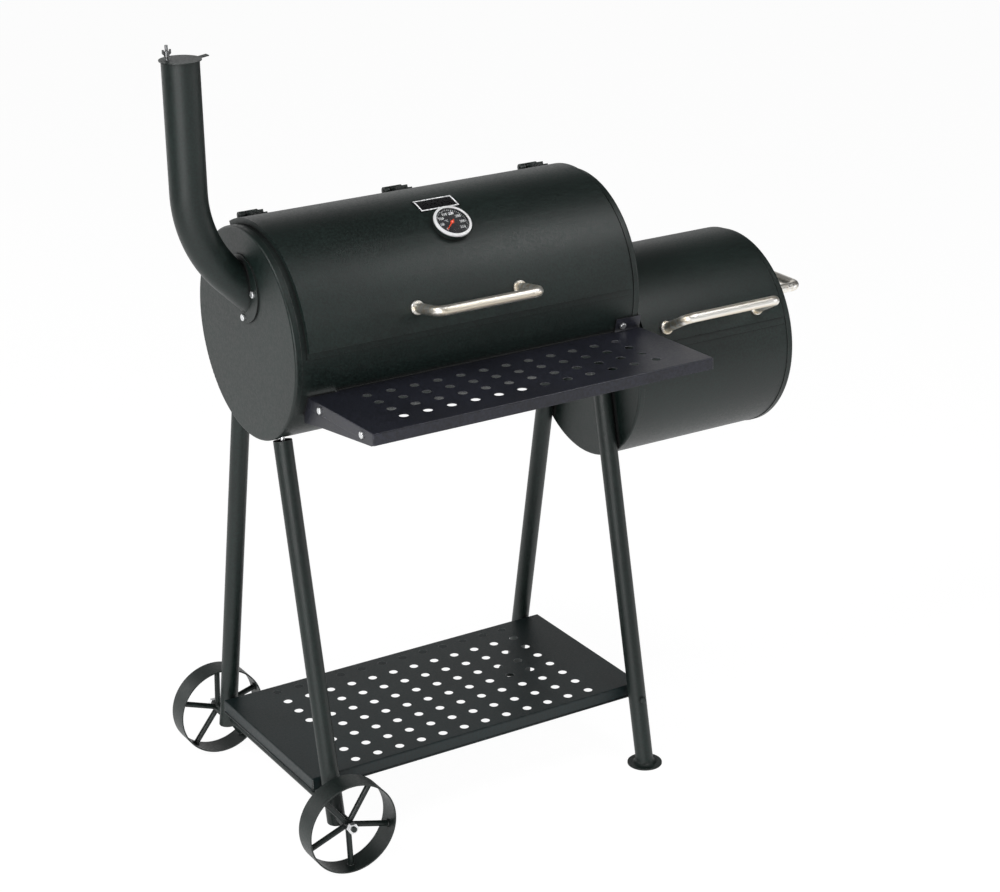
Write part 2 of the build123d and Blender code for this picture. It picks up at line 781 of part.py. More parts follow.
stem += extrude(Circle(needle_pivot_radius), needle_level + needle_sheet)
thermometer_stem = dial_plane * stem
stem_nut = extrude(RegularPolygon(thermometer_nut_flats / sqrt(3), 6), -thermometer_nut_height)
stem_nut -= Cylinder(thermometer_stem_radius + thread_clearance, 4 * thermometer_nut_height)
nut_sink = barrel_lid_radius - lid_sheet
nut_plane = radial_plane(thermometer_shift, nut_sink, thermometer_angle, barrel_axis_height)
inner_arc_height = nut_sink - sqrt(nut_sink**2 - (thermometer_nut_flats / sqrt(3)) ** 2)
thermometer_nut = nut_plane.offset(-inner_arc_height) * stem_nut
main_lid -= drill(dial_plane, thermometer_stem_radius + screw_hole_clearance, 2 * lid_sheet)
pointer = Polyline(
    (-needle_tail, -needle_width / 2),
    (-needle_tail, needle_width / 2),
    (needle_length, needle_tip_width / 2),
    (needle_length, -needle_tip_width / 2),
    close=True,
)
needle = extrude(make_face(pointer) + Circle(needle_hub_radius), needle_sheet)
needle -= Cylinder(needle_pivot_radius + needle_running_clearance, 4 * needle_sheet)
thermometer_needle = dial_plane * (Pos(0, 0, needle_level) * Rot(0, 0, needle_rest_angle) * needle)
plate_seat = barrel_lid_radius + plate_seat_gap
blank_plate = drum_sector(
    plate_seat,
    plate_seat + plate_sheet,
    plate_low_angle,
    plate_high_angle,
    plate_shift - plate_width / 2,
    plate_shift + plate_width / 2,
    barrel_axis_height,
)

# Front shelf: a perforated tray with folded flanges, bolted to a bracket at each end

shelf_back_height = barrel_axis_height - shelf_drop
shelf_width = barrel_length - shelf_left_inset + shelf_right_overhang
shelf_shift = (shelf_left_inset + shelf_right_overhang) / 2
shelf_back = -sqrt(barrel_shell_radius**2 - (barrel_axis_height - shelf_back_height) ** 2) - shelf_back_gap
shelf_plane = Plane(origin=(shelf_shift, shelf_back, shelf_back_height), x_dir=(1, 0, 0), z_dir=(0, 0, 1))
shelf_frame = shelf_plane.location * Rot(-shelf_tilt, 0, 0)


def folded_tray(width, depth, height, sheet, fold_radius, open_back):
    """A tray turned upside down: a top with flanges folded down, its back edge at y 0, its top at z 0."""
    low = Align.CENTER, Align.MAX, Align.MAX
    outer = Box(width, depth, height, align=low)
    top_edges = outer.edges().group_by(Axis.Z)[-1]
    posts = outer.edges().filter_by(Axis.Z)
    folds = top_edges.sort_by(Axis.Y)[:-1] if open_back else top_edges
    corners = posts.group_by(Axis.Y)[0] if open_back else posts
    outer = fillet(list(folds) + list(corners), fold_radius)
    gap = 0.0 if open_back else sheet
    inner = Pos(0, -gap, -sheet) * Box(width - 2 * sheet, depth - sheet - gap, height, align=low)
    inner_top = inner.edges().group_by(Axis.Z)[-1]
    inner_posts = inner.edges().filter_by(Axis.Z)
    inner_folds = inner_top.sort_by(Axis.Y)[:-1] if open_back else inner_top
    inner_corners = inner_posts.group_by(Axis.Y)[0] if open_back else inner_posts
    inner = fillet(list(inner_folds) + list(inner_corners), fold_radius - sheet)
    return outer - inner


def hole_grid(room_x, room_y, pitch_x, pitch_y, radius, sheet):
    """Drills for the straight grid of round holes that a field about the origin has room for."""
    columns = int(room_x / pitch_x) + 1
    rows = int(room_y / pitch_y) + 1
    holes = GridLocations(pitch_x, pitch_y, columns, rows) * Circle(radius)
    return extrude(Sketch() + holes, 2 * sheet, both=True)


shelf_tray = folded_tray(shelf_width, shelf_depth, shelf_flange, shelf_sheet, shelf_fold_radius, True)
grid_middle = -(shelf_depth - shelf_hole_front_margin + shelf_hole_back_margin) / 2
shelf_tray -= Pos(0, grid_middle, 0) * hole_grid(
    shelf_width - 2 * shelf_hole_side_margin,
    shelf_depth - shelf_hole_front_margin - shelf_hole_back_margin,
    shelf_hole_pitch_x,
    shelf_hole_pitch_y,
    shelf_hole_radius,
    shelf_sheet,
)
notch = Box(
    bracket_tab_width + 2 * shelf_sheet + 2 * bracket_sheet,
    2 * shelf_notch_depth,
    4 * shelf_flange,
)
shelf_tray -= [
    Pos(side * (shelf_width - bracket_tab_width) / 2, 0, 0) * notch for side in (-1, 1)
]

bracket_places = [shelf_bolt_back, shelf_bolt_front]


def shelf_side_planes(side):
    """Planes of the two bolts on one end flange, facing outwards, in the shelf's own frame."""
    return [
        Plane(
            origin=(side * shelf_width / 2, -along, -shelf_bolt_drop),
            x_dir=(0, -side, 0),
            z_dir=(side, 0, 0),
        )
        for along in bracket_places
    ]


flange_drills = []
shelf_bolts = []
side_grip = shelf_sheet + bracket_sheet
for side in (-1, 1):
    for plane in shelf_side_planes(side):
        flange_drills.append(drill(plane, bolt_radius + screw_hole_clearance, 2 * side_grip))
        shelf_bolts.append(shelf_frame * sheet_bolt(plane, side_grip))
front_shelf = shelf_frame * (shelf_tray - flange_drills)


def shelf_bracket(side, seat_radius, top_angle, bolt_angle):
    """A gusset inside one end flange, with a tab bent along the barrel and a bolt through it."""
    flange_inner = side * (shelf_width / 2 - shelf_sheet)
    outline = Polyline(
        (bracket_heel_reach, -shelf_fold_radius),
        (-shelf_depth + bracket_front_gap, -shelf_fold_radius),
        (-shelf_depth + bracket_front_gap, -bracket_front_drop),
        (-bracket_shoulder, -bracket_back_drop),
        (bracket_heel_reach, -bracket_heel_drop),
        close=True,
    )
    sheet_plane = Plane(origin=(flange_inner, 0, 0), x_dir=(0, 1, 0), z_dir=(1, 0, 0))
    gusset = extrude(sheet_plane * make_face(outline), -side * bracket_sheet)
    gusset -= flange_drills
    gusset = shelf_frame * gusset
    outside = shelf_shift + flange_inner
    inside = outside - side * bracket_tab_width
    x_low = min(outside, inside)
    x_high = max(outside, inside)
    gusset -= rod_x(seat_radius, x_low - cut_margin, x_high + cut_margin, 0, barrel_axis_height)
    tab = drum_sector(
        seat_radius,
        seat_radius + bracket_sheet,
        bracket_tab_low_angle,
        top_angle,
        x_low,
        x_high,
        barrel_axis_height,
    )
    bracket = gusset + tab
    bolt_x = outside - side * tab_bolt_inset
    bolt_plane = radial_plane(bolt_x, seat_radius + bracket_sheet, bolt_angle, barrel_axis_height)
    hole = drill(bolt_plane, bolt_radius + screw_hole_clearance, 8 * bracket_sheet)
    grip = seat_radius + bracket_sheet - barrel_shell_radius + shell_sheet
    return bracket - hole, bolt_plane, hole, grip


left_seat = barrel_shell_radius + bracket_seat_clearance
right_seat = barrel_radius + bracket_seat_clearance
shelf_bracket_left, left_bolt_plane, left_hole, left_grip = shelf_bracket(
    -1, left_seat, left_tab_top_angle, left_tab_bolt_angle
)
shelf_bracket_right, right_bolt_plane, right_hole, right_grip = shelf_bracket(
    1, right_seat, right_tab_top_angle, right_tab_bolt_angle
)
firebox_relief = rod_x(
    firebox_radius + 2 * bracket_sheet, barrel_end, firebox_end, 0, firebox_axis_height
)
shelf_bracket_right -= firebox_relief
barrel_shell -= [left_hole, right_hole]
nut_dip = barrel_shell_radius - sqrt(barrel_shell_radius**2 - bolt_head_radius**2)
shell_bolts.append(sheet_bolt(left_bolt_plane, left_grip + nut_dip))
shell_bolts.append(sheet_bolt(right_bolt_plane, right_grip + nut_dip))

# Legs: leaning tubes bolted under the barrel, the left pair short for the axle, the right pair on discs

leg_meet_height = barrel_axis_height - sqrt(barrel_radius**2 - leg_top_spread**2)
leg_lean = (leg_floor_spread - leg_top_spread) / leg_meet_height
wheel_axis_height = wheel_radius


def leg_spread(height):
    """Distance of a leg's axis from the middle at a height."""
    return leg_floor_spread - leg_lean * height


def leg_point(side_x, side_y, height):
    """A point on a leg's axis."""
    return Vector(leg_x[side_x], side_y * leg_spread(height), height)


def leg_top_height():
    """Height of the axis where the tube's square-cut end comes against the barrel."""
    run = Vector(0, -(leg_floor_spread - leg_top_spread), leg_meet_height).normalized()
    edge = Vector(0, -run.Z, run.Y) * leg_radius
    start = Vector(0, leg_floor_spread, -barrel_axis_height) + edge
    reach = barrel_radius + leg_seat_clearance
    along = start.dot(run)
    length = -along - sqrt(along**2 - start.dot(start) + reach**2)
    return length * run.Z


leg_end_height = leg_top_height()
lower_bolt_height = lower_height - lower_bolt_drop


def leg(side_x, side_y):
    """One leg tube with its holes, its top plug and the bolt that holds it under the barrel."""
    on_axle = side_x < 0
    top = leg_point(side_x, side_y, leg_end_height)
    meet = leg_point(side_x, side_y, leg_meet_height)
    run = (meet - top).normalized()
    low = wheel_axis_height - leg_below_axle if on_axle else foot_sheet
    below = leg_point(side_x, side_y, low - 2 * leg_radius)
    tube = rod_between(below, top, leg_radius) - rod_between(below - run, top + run, leg_radius - leg_wall)
    tube -= Pos(top.X, 0, low) * Box(
        4 * leg_radius,
        4 * leg_floor_spread,
        4 * leg_radius + low,
        align=(Align.CENTER, Align.CENTER, Align.MAX),
    )
    bolt_y = side_y * leg_spread(lower_bolt_height)
    bolt_line = Plane(origin=(top.X, bolt_y, lower_bolt_height), z_dir=(0, side_y, 0))
    tube -= drill(bolt_line, bolt_radius + screw_hole_clearance, 2 * leg_radius)
    if on_axle:
        axle_y = side_y * leg_spread(wheel_axis_height)
        axle_line = Plane(origin=(top.X, axle_y, wheel_axis_height), z_dir=(0, 1, 0))
        tube -= drill(axle_line, axle_radius + axle_hole_clearance, 2 * leg_radius)
    plug = rod_between(top - run * leg_plug_length, top, leg_radius - leg_wall)
    plug_low = top - run * (leg_plug_length + cut_margin)
    plug -= rod_between(plug_low, top + run, leg_bolt_radius + thread_clearance)
    lean_angle = degrees(atan2(run.Y * -side_y, run.Z))
    face_angle = degrees(asin(leg_top_spread / barrel_radius))
    head_lift = leg_bolt_head_radius * sin(radians(face_angle - lean_angle)) + 2 * shell_sheet
    head_seat = meet + run * head_lift
    bolt = rod_between(top - run * leg_bolt_grip, head_seat, leg_bolt_radius)
    head = rod_between(head_seat, head_seat + run * leg_bolt_head_height, leg_bolt_head_radius)
    hole = rod_between(top, head_seat, leg_bolt_radius + screw_hole_clearance)
    return tube, plug, bolt + head, hole


legs = {(sx, sy): leg(sx, sy) for sx in (-1, 1) for sy in (-1, 1)}
barrel_shell -= [parts[3] for parts in legs.values()]
foot_discs = []
for side_y in (-1, 1):
    foot_spot = leg_point(1, side_y, foot_sheet)
    disc = Pos(foot_spot.X, foot_spot.Y, 0) * extrude(Circle(foot_radius), foot_sheet)
    foot_discs.append(fillet(disc.edges().group_by(Axis.Z)[-1], foot_sheet / 3))

# Lower shelf: a perforated tray between the legs, bolted through its long flanges with spacers

leg_outer_step = leg_radius * sqrt(1 + leg_lean**2)
lower_width = leg_x[1] - leg_x[-1] + 2 * lower_end_overhang
lower_middle = (leg_x[1] + leg_x[-1]) / 2
lower_depth = 2 * (leg_spread(lower_bolt_height) - leg_outer_step - lower_leg_gap)
lower_tray = folded_tray(lower_width, lower_depth, lower_flange, lower_sheet, lower_fold_radius, False)
lower_tray = Pos(0, lower_depth / 2, 0) * lower_tray
lower_tray -= hole_grid(
    lower_width - 2 * lower_hole_end_margin,
    lower_depth - 2 * lower_hole_side_margin,
    lower_hole_pitch_x,
    lower_hole_pitch_y,
    lower_hole_radius,
    lower_sheet,
)
relief = Box(
    2 * lower_corner_relief,
    2 * lower_corner_relief,
    2 * lower_flange,
    align=(Align.CENTER, Align.CENTER, Align.MAX),
)
for side_x in (-1, 1):
    for side_y in (-1, 1):
        lower_tray -= Pos(side_x * lower_width / 2, side_y * lower_depth / 2, -lower_fold_radius) * relief
lower_shelf = Pos(lower_middle, 0, lower_height) * lower_tray
shelf_spacers = []
lower_bolts = []
for side_x in (-1, 1):
    for side_y in (-1, 1):
        leg_middle = leg_spread(lower_bolt_height)
        flange_face = lower_depth / 2
        line = Plane(origin=(leg_x[side_x], side_y * flange_face, lower_bolt_height), z_dir=(0, side_y, 0))
        hole = drill(line, bolt_radius + screw_hole_clearance, 4 * lower_sheet)
        lower_shelf -= hole
        ring = Circle(spacer_radius) - Circle(bolt_radius + screw_hole_clearance)
        sleeve = extrude(line * ring, leg_middle - flange_face)
        top = leg_point(side_x, side_y, 2 * lower_bolt_height)
        sleeve -= rod_between(leg_point(side_x, side_y, 0), top, leg_radius)
        shelf_spacers.append(sleeve)
        lean_rise = spacer_radius * leg_lean
        head_plane = line.offset(leg_middle - flange_face + leg_outer_step + lean_rise)
        grip = leg_middle + leg_outer_step + lean_rise - flange_face + lower_sheet
        lower_bolts.append(sheet_bolt(head_plane, grip))

# Wheels: a strip rim welded to round spokes and a hub, free on one axle through the left legs

leg_outer = leg_spread(wheel_axis_height) + leg_outer_step + wheel_hub_radius * leg_lean
wheel_inner = leg_outer + wheel_leg_gap
wheel_middle = wheel_inner + wheel_rim_width / 2
hub_inner = leg_outer + hub_side_gap
hub_outer = wheel_inner + wheel_rim_width - axle_nut_height
nut_seat = hub_outer + hub_side_gap
axle_end = nut_seat + axle_nut_height + axle_tail


def wheel_plane(side_y, distance):
    """A plane across the axle, facing outwards, at a distance from the middle."""
    centre = (wheel_x, side_y * distance, wheel_axis_height)
    return Plane(origin=centre, x_dir=(1, 0, 0), z_dir=(0, side_y, 0))


def wheel(side_y, turn):
    """One wheel's rim and its spider of spokes and hub."""
    rim_face = Circle(wheel_radius) - Circle(wheel_radius - wheel_rim_sheet)
    side = wheel_plane(side_y, wheel_inner)
    rim = extrude(side * rim_face, wheel_rim_width)
    hub_face = side.offset(hub_inner - wheel_inner)
    spider = extrude(hub_face * Circle(wheel_hub_radius), hub_outer - hub_inner)
    centre = Vector(wheel_x, side_y * wheel_middle, wheel_axis_height)
    for index in range(wheel_spokes):
        angle = radians(turn + 360 * index / wheel_spokes)
        tip = centre + Vector(cos(angle), 0, sin(angle)) * wheel_radius
        spider += rod_between(centre, tip, wheel_spoke_radius)
    through = side.offset(-wheel_rim_width)
    spider &= extrude(through * Circle(wheel_radius - wheel_rim_sheet), 3 * wheel_rim_width)
    spider -= extrude(through * Circle(axle_radius + axle_running_clearance), 3 * wheel_rim_width)
    return rim, spider


front_wheel_rim, front_wheel_spider = wheel(-1, front_wheel_turn)
rear_wheel_rim, rear_wheel_spider = wheel(1, rear_wheel_turn)
axle_rod = extrude(wheel_plane(1, -axle_end) * Circle(axle_radius), 2 * axle_end)
axle_nuts = []
for side_y in (-1, 1):
    face = wheel_plane(side_y, nut_seat)
    nut = extrude(face * RegularPolygon(axle_nut_flats / sqrt(3), 6), axle_nut_height)
    nut -= extrude(face * Circle(axle_radius + thread_clearance), axle_nut_height)
    axle_nuts.append(nut)

# Grates: two wire cooking grates on rails in the barrel, and a charcoal grate low in the firebox

barrel_inner = barrel_shell_radius - shell_sheet
firebox_inner = firebox_shell_radius - shell_sheet
rail_top = barrel_axis_height - grate_drop
rail_low = rail_top - grate_rail_sheet
wall_reach = sqrt(barrel_inner**2 - (barrel_axis_height - rail_top) ** 2)
rail_start = barrel_lid_start + opening_side_inset
rail_end = barrel_lid_end - opening_side_inset
chamber = rod_x(barrel_inner, rail_start, rail_end, 0, barrel_axis_height)
grate_rails = []
for side_y in (-1, 1):
    bar = Pos(0, side_y * (wall_reach - grate_rail_width), rail_low) * Box(
        barrel_length,
        4 * grate_rail_width,
        grate_rail_sheet,
        align=(Align.CENTER, Align.MIN if side_y > 0 else Align.MAX, Align.MIN),
    )
    grate_rails.append(bar & chamber)


def wire_grate(x_start, x_end, half_width, frame_radius, wire_radius, pitch, level, along_x):
    """A wire grate: a round-bar frame with wires laid across its top and welded on."""
    frame_level = level + frame_radius
    grate = rod_x(frame_radius, x_start, x_end, -half_width, frame_level)
    grate += rod_x(frame_radius, x_start, x_end, half_width, frame_level)
    wire_level = frame_level + frame_radius + wire_radius - grate_weld_bite
    bars = []
    if along_x:
        tie_level = frame_level + frame_radius - wire_radius
        for x in (x_start + frame_radius, x_end - frame_radius):
            bars.append(rod_between((x, -half_width, tie_level), (x, half_width, tie_level), wire_radius))
        count = int(2 * half_width / pitch)
        for index in range(count):
            y = (index - (count - 1) / 2) * pitch
            bars.append(rod_x(wire_radius, x_start, x_end, y, wire_level))
    else:
        count = int((x_end - x_start - 2 * frame_radius) / pitch) + 1
        middle = (x_start + x_end) / 2
        for index in range(count):
            x = middle + (index - (count - 1) / 2) * pitch
            bars.append(rod_between((x, -half_width, wire_level), (x, half_width, wire_level), wire_radius))
        spine_level = wire_level - wire_radius - frame_radius + grate_weld_bite
        bars.append(rod_x(frame_radius, x_start, x_end, 0, spine_level))
    return grate + bars


grate_half_width = wall_reach - grate_side_gap - grate_frame_radius
cooking_grates = []
for grate_start, grate_end in (
    (rail_start + grate_end_gap, -grate_middle_gap / 2),
    (grate_middle_gap / 2, rail_end - grate_end_gap),
):
    cooking_grates.append(
        wire_grate(
            grate_start,
            grate_end,
            grate_half_width,
            grate_frame_radius,
            grate_wire_radius,
            grate_pitch,
            rail_top,
            False,
        )
    )
charcoal_level = firebox_axis_height - charcoal_drop
charcoal_reach = firebox_inner - charcoal_frame_radius - charcoal_seat_clearance
charcoal_half = sqrt(charcoal_reach**2 - (charcoal_drop - charcoal_frame_radius) ** 2)
charcoal_grate = wire_grate(
    barrel_end + cap_edge_round + charcoal_end_gap,
    firebox_end - cap_edge_round - charcoal_end_gap,
    charcoal_half,
    charcoal_frame_radius,
    charcoal_wire_radius,
    charcoal_pitch,
    charcoal_level,
    True,
)

# Air damper: a turning disc over a ring of holes in the firebox's far cap, held by a rivet

air_plane = Plane(
    origin=(firebox_end, 0, firebox_axis_height - air_drop), x_dir=(0, 1, 0), z_dir=(1, 0, 0)
)
air_ring = PolarLocations(air_hole_circle, air_holes)
firebox_right_cap -= [air_plane * (spot * Cylinder(air_hole_radius, 8 * cap_sheet)) for spot in air_ring]
firebox_right_cap -= drill(air_plane, air_rivet_radius + thread_clearance, 4 * cap_sheet)
disc = extrude(Circle(air_disc_radius), air_disc_sheet)
closed_turn = 180 / air_holes
disc -= [Rot(0, 0, closed_turn) * spot * Cylinder(air_hole_radius, 8 * air_disc_sheet) for spot in air_ring]
disc -= Cylinder(air_rivet_radius + air_running_clearance, 8 * air_disc_sheet)
tab = Pos(0, air_disc_radius - air_tab_sheet, 0) * Box(
    air_tab_width, air_tab_length, air_disc_sheet, align=(Align.CENTER, Align.MIN, Align.MIN)
)
tab_end = air_disc_radius - air_tab_sheet + air_tab_length
tab += Pos(0, tab_end, 0) * Box(
    air_tab_width, air_tab_sheet, air_tab_height, align=(Align.CENTER, Align.MAX, Align.MIN)
)
air_damper = air_plane.offset(air_disc_gap) * (disc + tab)
rivet_stack = cap_sheet + air_disc_gap + air_disc_sheet + air_disc_gap
rivet = Pos(0, 0, -cap_sheet) * extrude(Circle(air_rivet_radius), rivet_stack)
rivet_head = extrude(Circle(air_rivet_head_radius), air_rivet_head_height)
rivet += Pos(0, 0, -cap_sheet - air_rivet_head_height) * rivet_head
dome = fillet(rivet_head.edges().group_by(Axis.Z)[-1], air_rivet_head_height * head_rounding)
rivet += Pos(0, 0, rivet_stack - cap_sheet) * dome
air_rivet = air_plane * rivet

# All pieces by name, moved so that the origin is on the floor at the middle of the whole
pieces["barrel_shell"] = barrel_shell
pieces["barrel_left_cap"] = barrel_left_cap
pieces["barrel_right_cap"] = barrel_right_cap
pieces["firebox_shell"] = firebox_shell
pieces["firebox_left_cap"] = firebox_left_cap
pieces["firebox_right_cap"] = firebox_right_cap
pieces["shell_bolts"] = shell_bolts
pieces["main_lid"] = main_lid
pieces["main_lid_handle"] = main_lid_handle
pieces["main_lid_handle_screws"] = main_lid_screws
pieces["main_lid_hinge_leaves"] = main_lid_leaves
pieces["barrel_hinge_leaves"] = barrel_leaves
pieces["main_hinge_pins"] = main_pins
pieces["firebox_lid"] = firebox_lid
pieces["firebox_lid_handle"] = firebox_lid_handle
pieces["firebox_lid_handle_screws"] = firebox_lid_screws
pieces["firebox_lid_hinge_leaves"] = firebox_lid_leaves
pieces["firebox_hinge_leaves"] = firebox_leaves
pieces["firebox_hinge_pins"] = firebox_pins
pieces["carry_handle"] = carry_handle
pieces["carry_handle_screws"] = carry_screws
pieces["chimney_pipe"] = chimney_pipe
pieces["chimney_flange"] = chimney_flange
pieces["damper_cap"] = damper_cap
pieces["damper_pivot_bolt"] = damper_bolt
pieces["damper_wing_nut"] = wing_nut
pieces["thermometer_case"] = thermometer_case
pieces["thermometer_bezel"] = thermometer_bezel
pieces["thermometer_dial"] = thermometer_dial
pieces["thermometer_lens"] = thermometer_lens
pieces["thermometer_needle"] = thermometer_needle
pieces["thermometer_stem"] = thermometer_stem
pieces["thermometer_nut"] = thermometer_nut
pieces["blank_plate"] = blank_plate
pieces["front_shelf"] = front_shelf
pieces["shelf_bracket_left"] = shelf_bracket_left
pieces["shelf_bracket_right"] = shelf_bracket_right
pieces["front_shelf_bolts"] = shelf_bolts
leg_names = {(-1, -1): "front_left", (-1, 1): "rear_left", (1, -1): "front_right", (1, 1): "rear_right"}
for corner, name in leg_names.items():
    pieces["leg_" + name] = legs[corner][0]
pieces["leg_plugs"] = [parts[1] for parts in legs.values()]
pieces["leg_bolts"] = [parts[2] for parts in legs.values()]
pieces["foot_discs"] = foot_discs
pieces["lower_shelf"] = lower_shelf
pieces["lower_shelf_spacers"] = shelf_spacers
pieces["lower_shelf_bolts"] = lower_bolts
pieces["axle_rod"] = axle_rod
pieces["axle_nuts"] = axle_nuts
pieces["front_wheel_rim"] = front_wheel_rim
pieces["front_wheel_spider"] = front_wheel_spider
pieces["rear_wheel_rim"] = rear_wheel_rim
pieces["rear_wheel_spider"] = rear_wheel_spider
pieces["cooking_grate_left"] = cooking_grates[0]
pieces["cooking_grate_right"] = cooking_grates[1]
pieces["grate_rails"] = grate_rails
pieces["charcoal_grate"] = charcoal_grate
pieces["air_damper"] = air_damper
pieces["air_damper_rivet"] = air_rivet


def solids_of(piece):
    """The separate solids of one piece or of a group of like pieces."""
    members = piece if isinstance(piece, list) else [piece]
    return [solid for member in members for solid in member.solids()]


groups = {name: solids_of(piece) for name, piece in pieces.items()}
boxes = [solid.bounding_box() for group in groups.values() for solid in group]
middle_x = (min(box.min.X for box in boxes) + max(box.max.X for box in boxes)) / 2
middle_y = (min(box.min.Y for box in boxes) + max(box.max.Y for box in boxes)) / 2
origin_shift = Vector(-middle_x, -middle_y, -min(box.min.Z for box in boxes))

os.makedirs("parts", exist_ok=True)
for name, group in groups.items():
    moved = [Pos(origin_shift) * solid for solid in group]
    export_step(moved[0] if len(moved) == 1 else Compound(children=moved), f"parts/{name}.step")
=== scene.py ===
import json
from math import atan, cos, pi, radians, sin

import bmesh
import bpy
from mathutils import Matrix, Vector, noise


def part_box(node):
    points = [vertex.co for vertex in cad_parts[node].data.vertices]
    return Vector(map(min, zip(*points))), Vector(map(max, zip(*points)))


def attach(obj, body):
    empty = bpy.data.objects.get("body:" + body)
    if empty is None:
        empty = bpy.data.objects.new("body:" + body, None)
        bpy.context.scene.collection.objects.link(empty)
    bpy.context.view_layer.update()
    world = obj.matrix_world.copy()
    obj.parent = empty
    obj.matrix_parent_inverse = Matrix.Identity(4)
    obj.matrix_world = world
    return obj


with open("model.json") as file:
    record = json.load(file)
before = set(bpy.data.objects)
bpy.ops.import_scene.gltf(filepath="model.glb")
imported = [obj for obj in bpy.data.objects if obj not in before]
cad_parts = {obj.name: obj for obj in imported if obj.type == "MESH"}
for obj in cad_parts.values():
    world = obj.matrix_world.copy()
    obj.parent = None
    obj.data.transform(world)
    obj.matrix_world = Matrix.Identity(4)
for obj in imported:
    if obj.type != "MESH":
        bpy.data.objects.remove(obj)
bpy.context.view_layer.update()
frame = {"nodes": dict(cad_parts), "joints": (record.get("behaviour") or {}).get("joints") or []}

nodes = frame["nodes"]
joints = {joint["name"]: joint for joint in frame["joints"]}
scene = bpy.context.scene
scene.view_settings.view_transform = "Standard"

# Camera: a long lens a little above the lid's height, looking down on the front left corner.
# Its place is measured from the smoker's origin, on the floor at the middle of its footprint.
camera_place = Vector((-2.08599, -3.42596, 2.15167))
camera_yaw = radians(31.006)
camera_pitch = radians(21.150)
camera_roll = radians(-0.967)
camera_sensor = 36.0
camera_focus_in_widths = 2.44255
camera_reach = 60.0
camera_data = bpy.data.cameras.new("camera")
camera_data.sensor_width = camera_sensor
camera_data.lens = camera_sensor * camera_focus_in_widths
camera_data.clip_end = camera_reach
camera = bpy.data.objects.new("camera", camera_data)
camera.matrix_world = (
    Matrix.Translation(camera_place)
    @ Matrix.Rotation(-camera_yaw, 4, "Z")
    @ Matrix.Rotation(pi / 2 - camera_pitch, 4, "X")
    @ Matrix.Rotation(camera_roll, 4, "Z")
)
scene.collection.objects.link(camera)
scene.camera = camera

# Studio: a wide white paper under and low behind the smoker, which keeps a faint shadow.
# The room beside it, in front and overhead is dim, so that soft lamps shape the dark paint.
room_light = 0.045
backdrop_light = 1.0
backdrop_full_height = 0.33
backdrop_top_height = 0.56
backdrop_full_width = 0.45
backdrop_end_width = 0.8
backdrop_start_depth = -0.1
backdrop_full_depth = 0.3
paper_half_width = 2.4
paper_end_half_width = 3.2
white = (1, 1, 1, 1)
floor_half_size = 30.0
floor_white_share = 0.88
floor_white = 1.09
floor_tone = (0.86, 0.86, 0.86, 1)


def link(tree, start, end):
    """Joins one node's output to another's input."""
    tree.links.new(start, end)


def add_node(tree, kind, **settings):
    """A node of one kind with its own settings."""
    node = tree.nodes.new(kind)
    for name, value in settings.items():
        setattr(node, name, value)
    return node


def fade(tree, value, start, end, low, high, shape="SMOOTHSTEP"):
    """A value carried from one range to another, held at both ends."""
    ramp = add_node(tree, "ShaderNodeMapRange", interpolation_type=shape)
    for socket, number in (("From Min", start), ("From Max", end), ("To Min", low), ("To Max", high)):
        ramp.inputs[socket].default_value = number
    link(tree, value, ramp.inputs["Value"])
    return ramp.outputs["Result"]


def combine(tree, operation, first, second):
    """Two values put together by one operation."""
    node = add_node(tree, "ShaderNodeMath", operation=operation)
    for socket, value in zip(node.inputs, (first, second)):
        if isinstance(value, float):
            socket.default_value = value
        else:
            link(tree, value, socket)
    return node.outputs["Value"]


world = bpy.data.worlds.new("studio")
scene.world = world
world.use_nodes = True
sky = world.node_tree
sky.nodes.clear()
sky_out = add_node(sky, "ShaderNodeOutputWorld")
sky_way = add_node(sky, "ShaderNodeTexCoord")
sky_split = add_node(sky, "ShaderNodeSeparateXYZ")
link(sky, sky_way.outputs["Generated"], sky_split.inputs[0])
sky_low = fade(sky, sky_split.outputs["Z"], backdrop_full_height, backdrop_top_height, 1.0, 0.0)
sky_behind = fade(sky, sky_split.outputs["Y"], backdrop_start_depth, backdrop_full_depth, 0.0, 1.0)
sky_beside = combine(sky, "ABSOLUTE", sky_split.outputs["X"], 0.0)
sky_narrow = fade(sky, sky_beside, backdrop_full_width, backdrop_end_width, 1.0, 0.0)
sky_low_behind = combine(sky, "MULTIPLY", sky_low, sky_behind)
sky_backdrop = combine(sky, "MULTIPLY", sky_low_behind, sky_narrow)
sky_level = fade(sky, sky_backdrop, 0.0, 1.0, room_light, backdrop_light, "LINEAR")
sky_room = add_node(sky, "ShaderNodeBackground")
sky_room.inputs["Color"].default_value = white
link(sky, sky_level, sky_room.inputs["Strength"])
sky_white = add_node(sky, "ShaderNodeBackground")
sky_white.inputs["Color"].default_value = white
sky_path = add_node(sky, "ShaderNodeLightPath")
sky_seen = combine(sky, "MAXIMUM", sky_path.outputs["Is Camera Ray"], sky_path.outputs["Is Transmission Ray"])
sky_mix = add_node(sky, "ShaderNodeMixShader")
link(sky, sky_seen, sky_mix.inputs[0])
link(sky, sky_room.outputs[0], sky_mix.inputs[1])
link(sky, sky_white.outputs[0], sky_mix.inputs[2])
link(sky, sky_mix.outputs[0], sky_out.inputs["Surface"])

